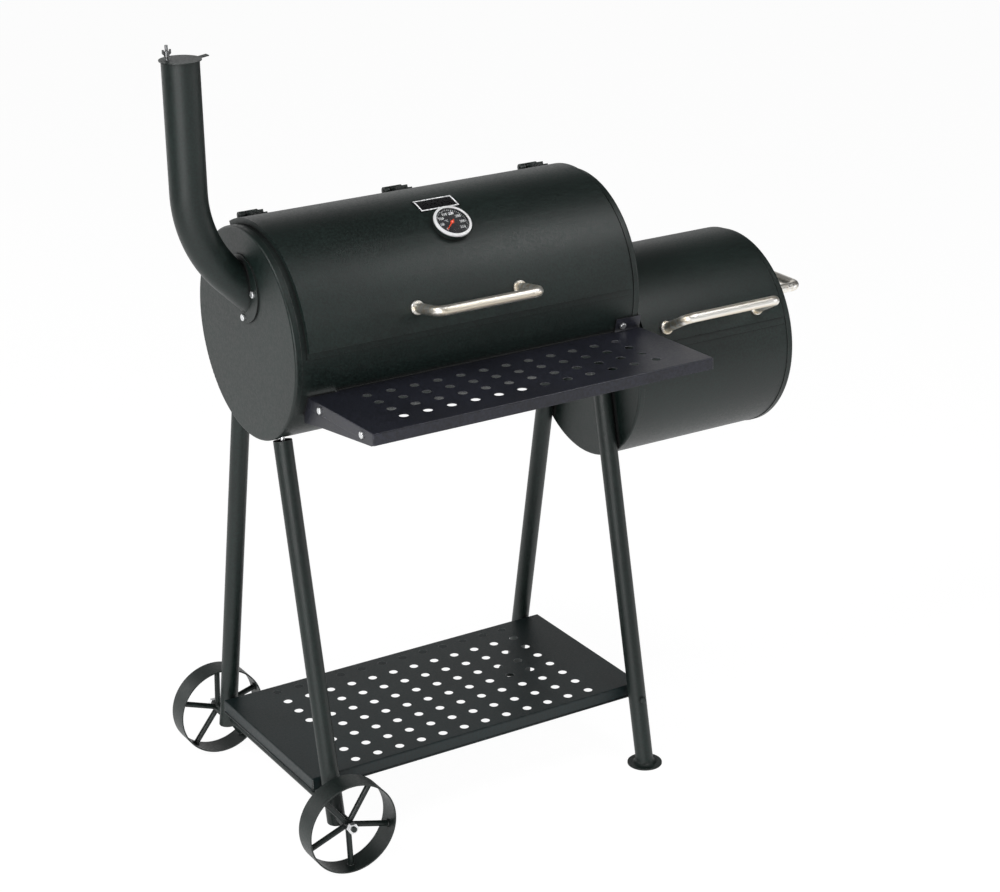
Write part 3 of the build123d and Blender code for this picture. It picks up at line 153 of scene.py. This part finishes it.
floor_paint = bpy.data.materials.new("studio_floor")
floor_paint.use_nodes = True
floor_tree = floor_paint.node_tree
floor_tree.nodes.clear()
floor_out = add_node(floor_tree, "ShaderNodeOutputMaterial")
floor_matt = add_node(floor_tree, "ShaderNodeBsdfDiffuse")
floor_matt.inputs["Color"].default_value = floor_tone
floor_glow = add_node(floor_tree, "ShaderNodeEmission")
floor_glow.inputs["Color"].default_value = white
floor_glow.inputs["Strength"].default_value = floor_white
floor_path = add_node(floor_tree, "ShaderNodeLightPath")
floor_where = add_node(floor_tree, "ShaderNodeTexCoord")
floor_split = add_node(floor_tree, "ShaderNodeSeparateXYZ")
link(floor_tree, floor_where.outputs["Object"], floor_split.inputs[0])
floor_beside = combine(floor_tree, "ABSOLUTE", floor_split.outputs["X"], 0.0)
floor_paper = fade(floor_tree, floor_beside, paper_half_width, paper_end_half_width, 1.0, 0.0)
floor_mirrored = combine(floor_tree, "MULTIPLY", floor_path.outputs["Is Glossy Ray"], floor_paper)
floor_seen = combine(
    floor_tree, "MAXIMUM", floor_path.outputs["Is Camera Ray"], floor_path.outputs["Is Transmission Ray"]
)
floor_clear = combine(floor_tree, "MAXIMUM", floor_seen, floor_mirrored)
floor_share = combine(floor_tree, "MULTIPLY", floor_clear, floor_white_share)
floor_mix = add_node(floor_tree, "ShaderNodeMixShader")
link(floor_tree, floor_share, floor_mix.inputs[0])
link(floor_tree, floor_matt.outputs[0], floor_mix.inputs[1])
link(floor_tree, floor_glow.outputs[0], floor_mix.inputs[2])
link(floor_tree, floor_mix.outputs[0], floor_out.inputs["Surface"])


def object_from(shape, name):
    """A mesh object at the origin from a bmesh, linked to the scene."""
    mesh = bpy.data.meshes.new(name)
    shape.to_mesh(mesh)
    shape.free()
    piece = bpy.data.objects.new(name, mesh)
    scene.collection.objects.link(piece)
    return piece


floor_shape = bmesh.new()
bmesh.ops.create_grid(floor_shape, x_segments=1, y_segments=1, size=floor_half_size)
floor = object_from(floor_shape, "floor")
floor.data.materials.append(floor_paint)

lamp_reach = 4.5
smoker_middle = Vector((0.0, 0.0, 0.75))
lid_right_end = Vector((0.12, -0.09, 1.0))
lid_left_front = Vector((-0.3, -0.13, 0.95))


def soft_lamp(name, target, distance, bearing, climb, width, height, power):
    """A rectangular soft lamp, its bearing in degrees from the front towards the right."""
    data = bpy.data.lights.new(name, "AREA")
    data.shape = "RECTANGLE"
    data.size = width
    data.size_y = height
    data.energy = power
    across = radians(bearing)
    up = radians(climb)
    way = Vector((sin(across) * cos(up), -cos(across) * cos(up), sin(up)))
    lamp = bpy.data.objects.new(name, data)
    turn = (-way).to_track_quat("-Z", "Y").to_matrix().to_4x4()
    lamp.matrix_world = Matrix.Translation(target + way * distance) @ turn
    scene.collection.objects.link(lamp)


soft_lamp("left_lamp", smoker_middle, lamp_reach, bearing=-88, climb=45, width=2.0, height=1.6, power=80.0)
soft_lamp("low_left_lamp", smoker_middle, lamp_reach, bearing=-50, climb=6, width=3.0, height=1.6, power=98.0)
soft_lamp("top_lamp", smoker_middle, lamp_reach, bearing=8, climb=66, width=2.0, height=1.6, power=22.0)
soft_lamp("lid_lamp", lid_right_end, distance=1.2, bearing=42, climb=49, width=0.6, height=0.6, power=5.0)
soft_lamp("fill_lamp", lid_left_front, distance=2.0, bearing=28, climb=20, width=0.7, height=0.5, power=3.0)
soft_lamp("low_right_lamp", smoker_middle, lamp_reach, bearing=60, climb=6, width=2.6, height=1.6, power=29.0)
soft_lamp("rim_lamp", smoker_middle, lamp_reach, bearing=-148, climb=4, width=3.0, height=1.2, power=14.0)

# Drums: the barrel and the firebox are rolled steel sheet with pressed caps over their ends.
# Both are sprayed inside and out with heat-resistant satin black, which keeps a fine orange peel
# and a slow drift in tone and catches a little dust on top. Its edges are painted lighter, part wear and part
# painted highlight, and its crevices are painted darker, as painted shade.
drift_scale = 7.0
drift_detail = 4.0
grain_scale = 1100.0
peel_scale = 250.0
fine_detail = 2.0
noise_low = 0.3
noise_high = 0.7
drift_cast = 0.16
peel_mottle = 0.4
peel_gloss = 0.05
dust_slope_start = 0.35
dust_tone = (0.20, 0.19, 0.175)
# Edges: laid over with a pale grey, part wear and part painted highlight, and made glossier.
edge_radius = 0.0016
edge_samples = 4
edge_flat = 0.995
edge_round = 0.9
wear_and_highlight_patch_low = 0.35
wear_and_highlight_patch_high = 0.6
wear_and_highlight_least = 0.35
wear_and_highlight_tone = (0.16, 0.165, 0.16)
rub_gloss = 0.14
# Painted shade: crevices and the steps under overlaps are darkened towards near-black and made rougher, where
# shade falls.
nook_reach = 0.009
nook_samples = 4
nook_filled = 0.45
nook_clear = 0.9
crevice_shade_tone = (0.0015, 0.0015, 0.0015)
crevice_shade_dulling = 0.4


def film_group():
    """The shared node group for all sprayed paint."""
    tree = bpy.data.node_groups.new("paint_film", "ShaderNodeTree")
    face = tree.interface
    face.new_socket("Tone", in_out="INPUT", socket_type="NodeSocketColor")
    for name in ("Gloss roughness", "Grain height", "Dust", "Edge wear and highlight", "Crevice shade"):
        face.new_socket(name, in_out="INPUT", socket_type="NodeSocketFloat")
    face.new_socket("Color", in_out="OUTPUT", socket_type="NodeSocketColor")
    for name in ("Roughness", "Height"):
        face.new_socket(name, in_out="OUTPUT", socket_type="NodeSocketFloat")
    given = add_node(tree, "NodeGroupInput").outputs
    made = add_node(tree, "NodeGroupOutput").inputs
    where = add_node(tree, "ShaderNodeTexCoord")

    def speckle(scale, detail):
        """Noise of one grain size over the surface."""
        texture = add_node(tree, "ShaderNodeTexNoise")
        texture.inputs["Scale"].default_value = scale
        texture.inputs["Detail"].default_value = detail
        link(tree, where.outputs["Object"], texture.inputs["Vector"])
        return texture.outputs["Fac"]

    def laid_over(under, colour, share):
        """One colour laid over another by a mask."""
        layer = add_node(tree, "ShaderNodeMix", data_type="RGBA")
        layer.inputs["B"].default_value = (*colour, 1)
        link(tree, share, layer.inputs["Factor"])
        link(tree, under, layer.inputs["A"])
        return layer.outputs["Result"]

    drift = speckle(drift_scale, drift_detail)
    grain = speckle(grain_scale, fine_detail)
    peel = speckle(peel_scale, fine_detail)

    cast = fade(tree, drift, noise_low, noise_high, 1 - drift_cast, 1 + drift_cast)
    mottle = fade(tree, peel, noise_low, noise_high, 1 - peel_mottle, 1 + peel_mottle)
    shade = combine(tree, "MULTIPLY", cast, mottle)
    tone = add_node(tree, "ShaderNodeVectorMath", operation="SCALE")
    link(tree, given["Tone"], tone.inputs[0])
    link(tree, shade, tone.inputs["Scale"])

    facing = add_node(tree, "ShaderNodeNewGeometry")
    facing_split = add_node(tree, "ShaderNodeSeparateXYZ")
    link(tree, facing.outputs["Normal"], facing_split.inputs[0])
    upward = fade(tree, facing_split.outputs["Z"], dust_slope_start, 1.0, 0.0, 1.0)
    dust = combine(tree, "MULTIPLY", combine(tree, "MULTIPLY", upward, drift), given["Dust"])
    dusty = laid_over(tone.outputs[0], dust_tone, dust)

    # Lighter edges, part wear and part painted highlight.
    rounded = add_node(tree, "ShaderNodeBevel", samples=edge_samples)
    rounded.inputs["Radius"].default_value = edge_radius
    turned = add_node(tree, "ShaderNodeVectorMath", operation="DOT_PRODUCT")
    link(tree, rounded.outputs["Normal"], turned.inputs[0])
    link(tree, facing.outputs["Normal"], turned.inputs[1])
    edge = fade(tree, turned.outputs["Value"], edge_flat, edge_round, 0.0, 1.0)
    patches = fade(tree, drift, wear_and_highlight_patch_low, wear_and_highlight_patch_high, wear_and_highlight_least, 1.0)
    wear_and_highlight = combine(tree, "MULTIPLY", combine(tree, "MULTIPLY", edge, given["Edge wear and highlight"]), patches)
    worn_and_highlit = laid_over(dusty, wear_and_highlight_tone, wear_and_highlight)

    # Painted shade: near-black laid into the crevices that ambient occlusion finds.
    nook = add_node(tree, "ShaderNodeAmbientOcclusion", samples=nook_samples)
    nook.inputs["Distance"].default_value = nook_reach
    filled = fade(tree, nook.outputs["AO"], nook_filled, nook_clear, 1.0, 0.0)
    crevice_shade = combine(tree, "MULTIPLY", filled, given["Crevice shade"])
    link(tree, laid_over(worn_and_highlit, crevice_shade_tone, crevice_shade), made["Color"])

    uneven = fade(tree, peel, noise_low, noise_high, -peel_gloss, peel_gloss)
    rough = combine(tree, "ADD", given["Gloss roughness"], uneven)
    worn = combine(tree, "SUBTRACT", rough, combine(tree, "MULTIPLY", edge, rub_gloss))
    dulled = combine(tree, "ADD", worn, combine(tree, "MULTIPLY", crevice_shade, crevice_shade_dulling))
    link(tree, dulled, made["Roughness"])

    rise = combine(tree, "MULTIPLY", combine(tree, "ADD", grain, peel), given["Grain height"])
    link(tree, rise, made["Height"])
    return tree


paint_film = film_group()


def new_finish(name):
    """A material and its Principled shader, ready for its own nodes."""
    material = bpy.data.materials.new(name)
    material.use_nodes = True
    return material, material.node_tree.nodes["Principled BSDF"]


def painted(name, tone, roughness, grain_height=0.00012, dust=0.02, edge_wear_and_highlight=0.25, crevice_shade=1.0):
    """A sprayed paint of one tone."""
    material, shader = new_finish(name)
    tree = material.node_tree
    film = add_node(tree, "ShaderNodeGroup", node_tree=paint_film)
    film.inputs["Tone"].default_value = (*tone, 1)
    film.inputs["Gloss roughness"].default_value = roughness
    film.inputs["Grain height"].default_value = grain_height
    film.inputs["Dust"].default_value = dust
    film.inputs["Edge wear and highlight"].default_value = edge_wear_and_highlight
    film.inputs["Crevice shade"].default_value = crevice_shade
    link(tree, film.outputs["Color"], shader.inputs["Base Color"])
    link(tree, film.outputs["Roughness"], shader.inputs["Roughness"])
    bump = add_node(tree, "ShaderNodeBump")
    bump.inputs["Distance"].default_value = 1.0
    bump.inputs["Strength"].default_value = 1.0
    link(tree, film.outputs["Height"], bump.inputs["Height"])
    link(tree, bump.outputs["Normal"], shader.inputs["Normal"])
    return material


def finish_nodes(material, *names):
    """Gives CAD pieces their finish."""
    for name in names:
        for holder in nodes[name].material_slots:
            holder.material = material


drum_black = (0.0042, 0.0110, 0.0092)
drum_roughness = 0.45
drum_paint = painted("drum_paint", drum_black, drum_roughness, edge_wear_and_highlight=0.4)
finish_nodes(
    drum_paint,
    "barrel_shell",
    "barrel_left_cap",
    "barrel_right_cap",
    "firebox_shell",
    "firebox_left_cap",
    "firebox_right_cap",
)

# Lids: curved sheet with a stepped front lip, sprayed like the drums.
# Their edges get only a faint lighter line of wear and painted highlight, and the painted crevice shade draws
# dark lines along the stepped lip.
lid_paint = painted("lid_paint", drum_black, drum_roughness, edge_wear_and_highlight=0.05)
finish_nodes(lid_paint, "main_lid", "firebox_lid")

# Hinges: folded steel leaves riveted to the lids and to the drums, turning on plain pins.
# They were sprayed in place, so they wear the drums' coat.
finish_nodes(
    drum_paint,
    "main_lid_hinge_leaves",
    "barrel_hinge_leaves",
    "main_hinge_pins",
    "firebox_lid_hinge_leaves",
    "firebox_hinge_leaves",
    "firebox_hinge_pins",
)

# Bolts, screws and nuts: turned steel in bright zinc plate, a little cloudy.
# The damper's bolt and wing nut sit in the smoke and have gone dull.
cloud_and_streak_start = 0.35
cloud_and_streak_full = 0.7
gloss_low = 0.25
gloss_high = 0.75
gloss_swing = 0.1


def plated(name, tone, cloud_and_streak_tone, roughness, cloud_and_streak_scale, stretch=(1.0, 1.0, 1.0)):
    """A plated or polished metal whose colour drifts over noise from one tone to another: cloudiness on
    plating, and painted reflection streaks on the handles.
    """
    material, shader = new_finish(name)
    tree = material.node_tree
    shader.inputs["Metallic"].default_value = 1.0
    where = add_node(tree, "ShaderNodeTexCoord")
    grain = add_node(tree, "ShaderNodeMapping")
    grain.inputs["Scale"].default_value = stretch
    link(tree, where.outputs["Object"], grain.inputs["Vector"])
    cloud_and_streak = add_node(tree, "ShaderNodeTexNoise")
    cloud_and_streak.inputs["Scale"].default_value = cloud_and_streak_scale
    cloud_and_streak.inputs["Detail"].default_value = 1.0
    link(tree, grain.outputs["Vector"], cloud_and_streak.inputs["Vector"])
    ramp = add_node(tree, "ShaderNodeMix", data_type="RGBA")
    ramp.inputs["A"].default_value = (*tone, 1)
    ramp.inputs["B"].default_value = (*cloud_and_streak_tone, 1)
    link(tree, fade(tree, cloud_and_streak.outputs["Fac"], cloud_and_streak_start, cloud_and_streak_full, 0.0, 1.0), ramp.inputs["Factor"])
    link(tree, ramp.outputs["Result"], shader.inputs["Base Color"])
    smooth = roughness * (1 - gloss_swing)
    dull = roughness * (1 + gloss_swing)
    rough = fade(tree, cloud_and_streak.outputs["Fac"], gloss_low, gloss_high, smooth, dull, "LINEAR")
    link(tree, rough, shader.inputs["Roughness"])
    return material


zinc = plated(
    "bright_zinc", tone=(0.92, 0.93, 0.94), cloud_and_streak_tone=(0.80, 0.81, 0.82), roughness=0.4, cloud_and_streak_scale=400.0
)
finish_nodes(
    zinc,
    "shell_bolts",
    "main_lid_handle_screws",
    "firebox_lid_handle_screws",
    "carry_handle_screws",
    "front_shelf_bolts",
    "leg_bolts",
    "axle_nuts",
    "air_damper_rivet",
    "thermometer_stem",
    "thermometer_nut",
)
smoked_zinc = plated(
    "smoked_zinc", tone=(0.20, 0.205, 0.21), cloud_and_streak_tone=(0.11, 0.11, 0.11), roughness=0.36, cloud_and_streak_scale=300.0
)
finish_nodes(smoked_zinc, "damper_pivot_bolt", "damper_wing_nut")

# Handles: bent stainless tube, polished along its length, with faint straw-toned streaks along it that are
# painted reflection.
# The two lid handles run along the drums, and the carry handle runs across the firebox's end.
stainless_tone = (0.99, 0.97, 0.92)
streak_reflection_tone = (0.78, 0.70, 0.57)
stainless_roughness = 0.42
polish_and_reflection_scale = 130.0
polish_and_reflection_along = 0.02
lid_stainless = plated(
    "lid_stainless", stainless_tone, streak_reflection_tone, stainless_roughness, polish_and_reflection_scale, (polish_and_reflection_along, 1.0, 1.0)
)
finish_nodes(lid_stainless, "main_lid_handle", "firebox_lid_handle")
carry_streak_reflection_tone = (0.88, 0.83, 0.74)
carry_stainless = plated(
    "carry_stainless",
    stainless_tone,
    carry_streak_reflection_tone,
    stainless_roughness,
    polish_and_reflection_scale,
    (1.0, polish_and_reflection_along, 1.0),
)
finish_nodes(carry_stainless, "carry_handle")

# Chimney: a bent pipe through a bolted flange, with a swing plate on its mouth.
# The same satin black, from the same spraying.
finish_nodes(drum_paint, "chimney_pipe", "chimney_flange", "damper_cap")

# Thermometer: a pressed case in a bright rolled bezel, a dial under glass, an orange needle.
# The dial's scale is printed in white: plain degrees in eight steps, with short ticks between.
def clean_paint(name, tone, roughness):
    """A smooth paint or print under glass or enamel, with no dust, no lighter edges of wear and painted
    highlight, and no painted crevice shade.
    """
    return painted(name, tone, roughness, grain_height=0.0, dust=0.0, edge_wear_and_highlight=0.0, crevice_shade=0.0)


chrome = plated(
    "bezel_chrome", tone=(0.98, 0.98, 0.985), cloud_and_streak_tone=(0.94, 0.94, 0.95), roughness=0.75, cloud_and_streak_scale=30.0
)
finish_nodes(chrome, "thermometer_bezel")
# The case takes the drums' black paint, which gives the dark band below the bezel.
finish_nodes(drum_paint, "thermometer_case")
dial_black = clean_paint("dial_black", tone=(0.006, 0.007, 0.010), roughness=0.5)
finish_nodes(dial_black, "thermometer_dial")
needle_orange = clean_paint("needle_orange", tone=(0.85, 0.07, 0.012), roughness=0.35)
finish_nodes(needle_orange, "thermometer_needle")
lens_roughness = 0.02
lens_index = 1.45
lens_cover = 0.25
lens_glass, lens_shader = new_finish("lens_glass")
lens_shader.inputs["Base Color"].default_value = white
lens_shader.inputs["Transmission Weight"].default_value = 1.0
lens_shader.inputs["Roughness"].default_value = lens_roughness
lens_shader.inputs["IOR"].default_value = lens_index
lens_shader.inputs["Alpha"].default_value = lens_cover
finish_nodes(lens_glass, "thermometer_lens")

dial_hub = Vector(joints["needle_turn"]["pos_m"])
dial_out = -Vector(joints["needle_turn"]["axis"])
dial_across = Vector((1, 0, 0))
dial_up = dial_out.cross(dial_across)
dial_level = max((v.co - dial_hub).dot(dial_out) for v in nodes["thermometer_dial"].data.vertices)
dial_place = Matrix.Translation(dial_hub + dial_out * dial_level) @ Matrix(
    (dial_across, dial_up, dial_out)
).transposed().to_4x4()
scale_start = radians(222)
scale_sweep = radians(joints["needle_turn"]["range_deg"][1])
scale_steps = 7
scale_step_value = 50
ticks_per_step = 5
tick_outer_radius = 0.0272
tick_long = 0.0034
tick_short = 0.0018
tick_width = 0.0007
number_radius = 0.0192
number_height = 0.0066
unit_place = (-0.0085, 0.0045)
unit_height = 0.0052
print_lift = 0.00003
print_depth = 0.00012
print_merge = 0.000001
print_swell = 0.025


def add_print(shape, words, height, place):
    """Flat letters of one height, centred at a place on the dial."""
    letters = bpy.data.curves.new("letters", "FONT")
    letters.body = words
    letters.size = height
    letters.align_x = "CENTER"
    letters.align_y = "CENTER"
    letters.extrude = print_depth / 2
    letters.offset = height * print_swell
    writing = bpy.data.objects.new("letters", letters)
    flat = bpy.data.meshes.new_from_object(writing)
    flat.transform(Matrix.Translation((place[0], place[1], print_lift + print_depth / 2)))
    shape.from_mesh(flat)
    bpy.data.objects.remove(writing)
    bpy.data.curves.remove(letters)
    bpy.data.meshes.remove(flat)


dial_shape = bmesh.new()
for step in range(scale_steps * ticks_per_step + 1):
    angle = scale_start - scale_sweep * step / (scale_steps * ticks_per_step)
    length = tick_short if step % ticks_per_step else tick_long
    bmesh.ops.create_cube(
        dial_shape,
        size=1.0,
        matrix=Matrix.Rotation(angle, 4, "Z")
        @ Matrix.Translation((tick_outer_radius - length / 2, 0, print_lift + print_depth / 2))
        @ Matrix.Diagonal((length, tick_width, print_depth, 1)),
    )
for step in range(scale_steps + 1):
    angle = scale_start - scale_sweep * step / scale_steps
    spot = (number_radius * cos(angle), number_radius * sin(angle))
    add_print(dial_shape, str(step * scale_step_value), number_height, spot)
add_print(dial_shape, "°C", unit_height, unit_place)
bmesh.ops.remove_doubles(dial_shape, verts=dial_shape.verts, dist=print_merge)
bmesh.ops.recalc_face_normals(dial_shape, faces=dial_shape.faces)
bmesh.ops.transform(dial_shape, matrix=dial_place, verts=dial_shape.verts)
dial_print = object_from(dial_shape, "dial_print")
print_white = clean_paint("print_white", tone=(0.86, 0.87, 0.88), roughness=0.5)
dial_print.data.materials.append(print_white)
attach(dial_print, "main_lid")

# Plate: a small curved enamel plate above the thermometer, left blank inside a pale raised border.
# It follows the lid's curve, and the border is one strip bent round its four sides.
plate_black = clean_paint("plate_black", tone=(0.006, 0.006, 0.007), roughness=0.3)
finish_nodes(plate_black, "blank_plate")
barrel_axis_height = 0.882
barrel_axis = Vector((0, joints["damper_swing"]["pos_m"][1], barrel_axis_height))
plate_low, plate_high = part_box("blank_plate")
plate_points = [v.co - barrel_axis for v in nodes["blank_plate"].data.vertices]
plate_radius = max(Vector((0, p.y, p.z)).length for p in plate_points)
plate_bearings = [atan(p.z / -p.y) for p in plate_points]
border_margin = 0.0014
border_width = 0.0026
border_rise = 0.00035
border_sink = 0.0001
border_steps = 6


def add_border_strip(shape, left, right, low, high):
    """One strip of the border, bent round the lid between two bearings."""
    inner = plate_radius - border_sink
    outer = plate_radius + border_rise
    corners = [(left, inner), (right, inner), (right, outer), (left, outer)]
    ring = []
    for x, radius in corners:
        forward = radius * cos(low)
        rise = radius * sin(low)
        ring.append(shape.verts.new((x, barrel_axis.y - forward, barrel_axis.z + rise)))
    start = shape.faces.new(ring)
    bmesh.ops.spin(
        shape,
        geom=[start, *start.edges, *start.verts],
        cent=barrel_axis,
        axis=(-1, 0, 0),
        angle=high - low,
        steps=border_steps,
    )


border_left = plate_low[0] + border_margin
border_right = plate_high[0] - border_margin
border_turn = border_width / plate_radius
border_low = min(plate_bearings) + border_margin / plate_radius
border_high = max(plate_bearings) - border_margin / plate_radius
border_shape = bmesh.new()
side_low = border_low + border_turn
side_high = border_high - border_turn
add_border_strip(border_shape, border_left, border_right, border_low, side_low)
add_border_strip(border_shape, border_left, border_right, side_high, border_high)
for left in (border_left, border_right - border_width):
    add_border_strip(border_shape, left, left + border_width, side_low, side_high)
bmesh.ops.holes_fill(border_shape, edges=border_shape.edges, sides=4)
bmesh.ops.recalc_face_normals(border_shape, faces=border_shape.faces)
plate_border = object_from(border_shape, "plate_border")
plate_border.data.materials.append(print_white)
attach(plate_border, "main_lid")

# Front shelf: a perforated folded tray on two brackets, bolted under its side flanges.
# Its paint is bluer than the drums', and lighter as painted light that lifts this shaded region.
shelf_paint = painted("shelf_paint", tone=(0.0130, 0.0140, 0.0225), roughness=0.38)
finish_nodes(shelf_paint, "front_shelf", "shelf_bracket_left", "shelf_bracket_right")

# Legs: four leaning tubes under the barrel, held by bolts into plugs in their tops.
# The right pair stands on discs, each welded round its leg with a smooth bead.
finish_nodes(
    drum_paint,
    "leg_front_left",
    "leg_rear_left",
    "leg_front_right",
    "leg_rear_right",
    "leg_plugs",
    "foot_discs",
)
leg_radius = 0.016
leg_lean = 0.207
lean_stretch = (1 + leg_lean**2) ** 0.5
foot_sheet = 0.003
foot_weld_size = 0.007
foot_weld_steps = 5
foot_weld_sink = 0.0006
foot_weld_sides = 40
weld_sharp_angle = radians(50)
weld_merge = 0.00005
weld_root = leg_radius - foot_weld_sink
weld_profile = [(weld_root, -foot_weld_sink), (leg_radius + foot_weld_size, -foot_weld_sink)]
for step in range(1, foot_weld_steps):
    turn = step / foot_weld_steps * pi / 2
    weld_profile.append((leg_radius + foot_weld_size * (1 - sin(turn)), foot_weld_size * (1 - cos(turn))))
weld_profile.append((weld_root, foot_weld_size))
for leg_name, lean_way in (("leg_front_right", 1), ("leg_rear_right", -1)):
    leg_low, leg_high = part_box(leg_name)
    foot_x = (leg_low[0] + leg_high[0]) / 2
    foot_edge_y = leg_low[1] if lean_way > 0 else leg_high[1]
    foot_y = foot_edge_y + lean_way * leg_radius * lean_stretch
    weld_shape = bmesh.new()
    ring = [weld_shape.verts.new((out, 0, rise)) for out, rise in weld_profile]
    sides = [weld_shape.edges.new(pair) for pair in zip(ring, ring[1:] + ring[:1])]
    bmesh.ops.spin(
        weld_shape,
        geom=ring + sides,
        cent=(0, 0, 0),
        axis=(0, 0, 1),
        angle=2 * pi,
        steps=foot_weld_sides,
        use_merge=True,
    )
    bmesh.ops.remove_doubles(weld_shape, verts=weld_shape.verts, dist=weld_merge)
    bmesh.ops.recalc_face_normals(weld_shape, faces=weld_shape.faces)
    leaning = Matrix(
        (
            (1, 0, 0, foot_x),
            (0, lean_stretch, lean_way * leg_lean, foot_y),
            (0, 0, 1, foot_sheet),
            (0, 0, 0, 1),
        )
    )
    bmesh.ops.transform(weld_shape, matrix=leaning, verts=weld_shape.verts)
    foot_weld = object_from(weld_shape, leg_name.replace("leg", "foot_weld"))
    foot_weld.data.materials.append(drum_paint)
    foot_weld.data.shade_smooth()
    foot_weld.data.set_sharp_from_angle(angle=weld_sharp_angle)
    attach(foot_weld, "stand")

# Lower shelf: a perforated tray between the legs, on spacers, with black bolts through the legs.
# The lower edge of each flange is rolled into a thin bead so that it doesn't cut.
# Its coat is nearer to the drums' black than the front shelf's is.
lower_shelf_paint = painted("lower_shelf_paint", tone=(0.0030, 0.0110, 0.0120), roughness=0.46)
finish_nodes(lower_shelf_paint, "lower_shelf", "lower_shelf_spacers")
finish_nodes(drum_paint, "lower_shelf_bolts")
hem_radius = 0.0017
hem_rise = 0.0006
hem_corner_gap = 0.004
hem_sides = 12
tray_low, tray_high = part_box("lower_shelf")
tray_middle = (Vector(tray_low) + Vector(tray_high)) / 2
hem_height = tray_low[2] + hem_rise
hem_shape = bmesh.new()
for x, y, turn in (
    (tray_low[0], tray_middle.y, 0),
    (tray_high[0], tray_middle.y, 0),
    (tray_middle.x, tray_low[1], pi / 2),
    (tray_middle.x, tray_high[1], pi / 2),
):
    run = (tray_high[0] - tray_low[0]) if turn else (tray_high[1] - tray_low[1])
    bmesh.ops.create_cone(
        hem_shape,
        cap_ends=True,
        segments=hem_sides,
        radius1=hem_radius,
        radius2=hem_radius,
        depth=run - 2 * hem_corner_gap,
        matrix=Matrix.Translation((x, y, hem_height))
        @ Matrix.Rotation(turn, 4, "Z")
        @ Matrix.Rotation(pi / 2, 4, "X"),
    )
shelf_hem = object_from(hem_shape, "lower_shelf_hem")
shelf_hem.data.materials.append(lower_shelf_paint)
shelf_hem.data.shade_smooth()
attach(shelf_hem, "stand")

# Wheels: strip rims on five round spokes, free on one axle with a nut at each end.
# Each spoke is welded to the rim with a small lumpy bead.
finish_nodes(
    drum_paint,
    "front_wheel_rim",
    "front_wheel_spider",
    "rear_wheel_rim",
    "rear_wheel_spider",
    "axle_rod",
)
spoke_count = 5
spoke_radius = 0.005
rim_inner_radius = 0.079
spoke_bead = 0.0021
bead_sides = 8
bead_steps = 20
bead_ripple = 0.0005
bead_ripple_scale = 400.0
bead_set_in = 0.4
wheel_turns = {"front_wheel": 56, "rear_wheel": 88}
for wheel_name, wheel_turn in wheel_turns.items():
    rim_low, rim_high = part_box(wheel_name + "_rim")
    wheel_centre = (Vector(rim_low) + Vector(rim_high)) / 2
    bead_shape = bmesh.new()
    for spoke in range(spoke_count):
        angle = radians(wheel_turn + 360 * spoke / spoke_count)
        outward = Vector((cos(angle), 0, sin(angle)))
        side = Vector((0, 1, 0))
        weld_spot = wheel_centre + outward * (rim_inner_radius - bead_set_in * spoke_bead)
        ring_place = Matrix((side, outward, side.cross(outward))).transposed().to_4x4()
        ring = bmesh.ops.create_circle(
            bead_shape,
            radius=spoke_bead,
            segments=bead_sides,
            matrix=Matrix.Translation(weld_spot + side * spoke_radius) @ ring_place,
        )["verts"]
        bmesh.ops.spin(
            bead_shape,
            geom=ring + list({edge for vert in ring for edge in vert.link_edges}),
            cent=weld_spot,
            axis=outward,
            angle=2 * pi,
            steps=bead_steps,
            use_merge=True,
        )
    bmesh.ops.remove_doubles(bead_shape, verts=bead_shape.verts, dist=weld_merge)
    bmesh.ops.recalc_face_normals(bead_shape, faces=bead_shape.faces)
    for vert in bead_shape.verts:
        vert.co += vert.normal * bead_ripple * noise.noise(vert.co * bead_ripple_scale)
    weld_beads = object_from(bead_shape, wheel_name + "_welds")
    weld_beads.data.materials.append(drum_paint)
    weld_beads.data.shade_smooth()
    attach(weld_beads, wheel_name)

# Grates: two of plated wire for cooking, laid loose on rails that are welded into the barrel.
# The charcoal lies on plain steel bars in the firebox, darkened by the fire.
grate_plate = plated(
    "grate_plating", tone=(0.70, 0.70, 0.71), cloud_and_streak_tone=(0.56, 0.56, 0.57), roughness=0.22, cloud_and_streak_scale=90.0
)
finish_nodes(grate_plate, "cooking_grate_left", "cooking_grate_right")
charcoal_steel = plated(
    "charcoal_steel", tone=(0.20, 0.19, 0.18), cloud_and_streak_tone=(0.12, 0.11, 0.10), roughness=0.5, cloud_and_streak_scale=70.0
)
finish_nodes(charcoal_steel, "charcoal_grate")
finish_nodes(drum_paint, "grate_rails")

# Air damper: a steel disc with holes, turning over the holes in the firebox's far cap.
# One rivet holds it, tight enough for it to stay where it is put.
finish_nodes(drum_paint, "air_damper")
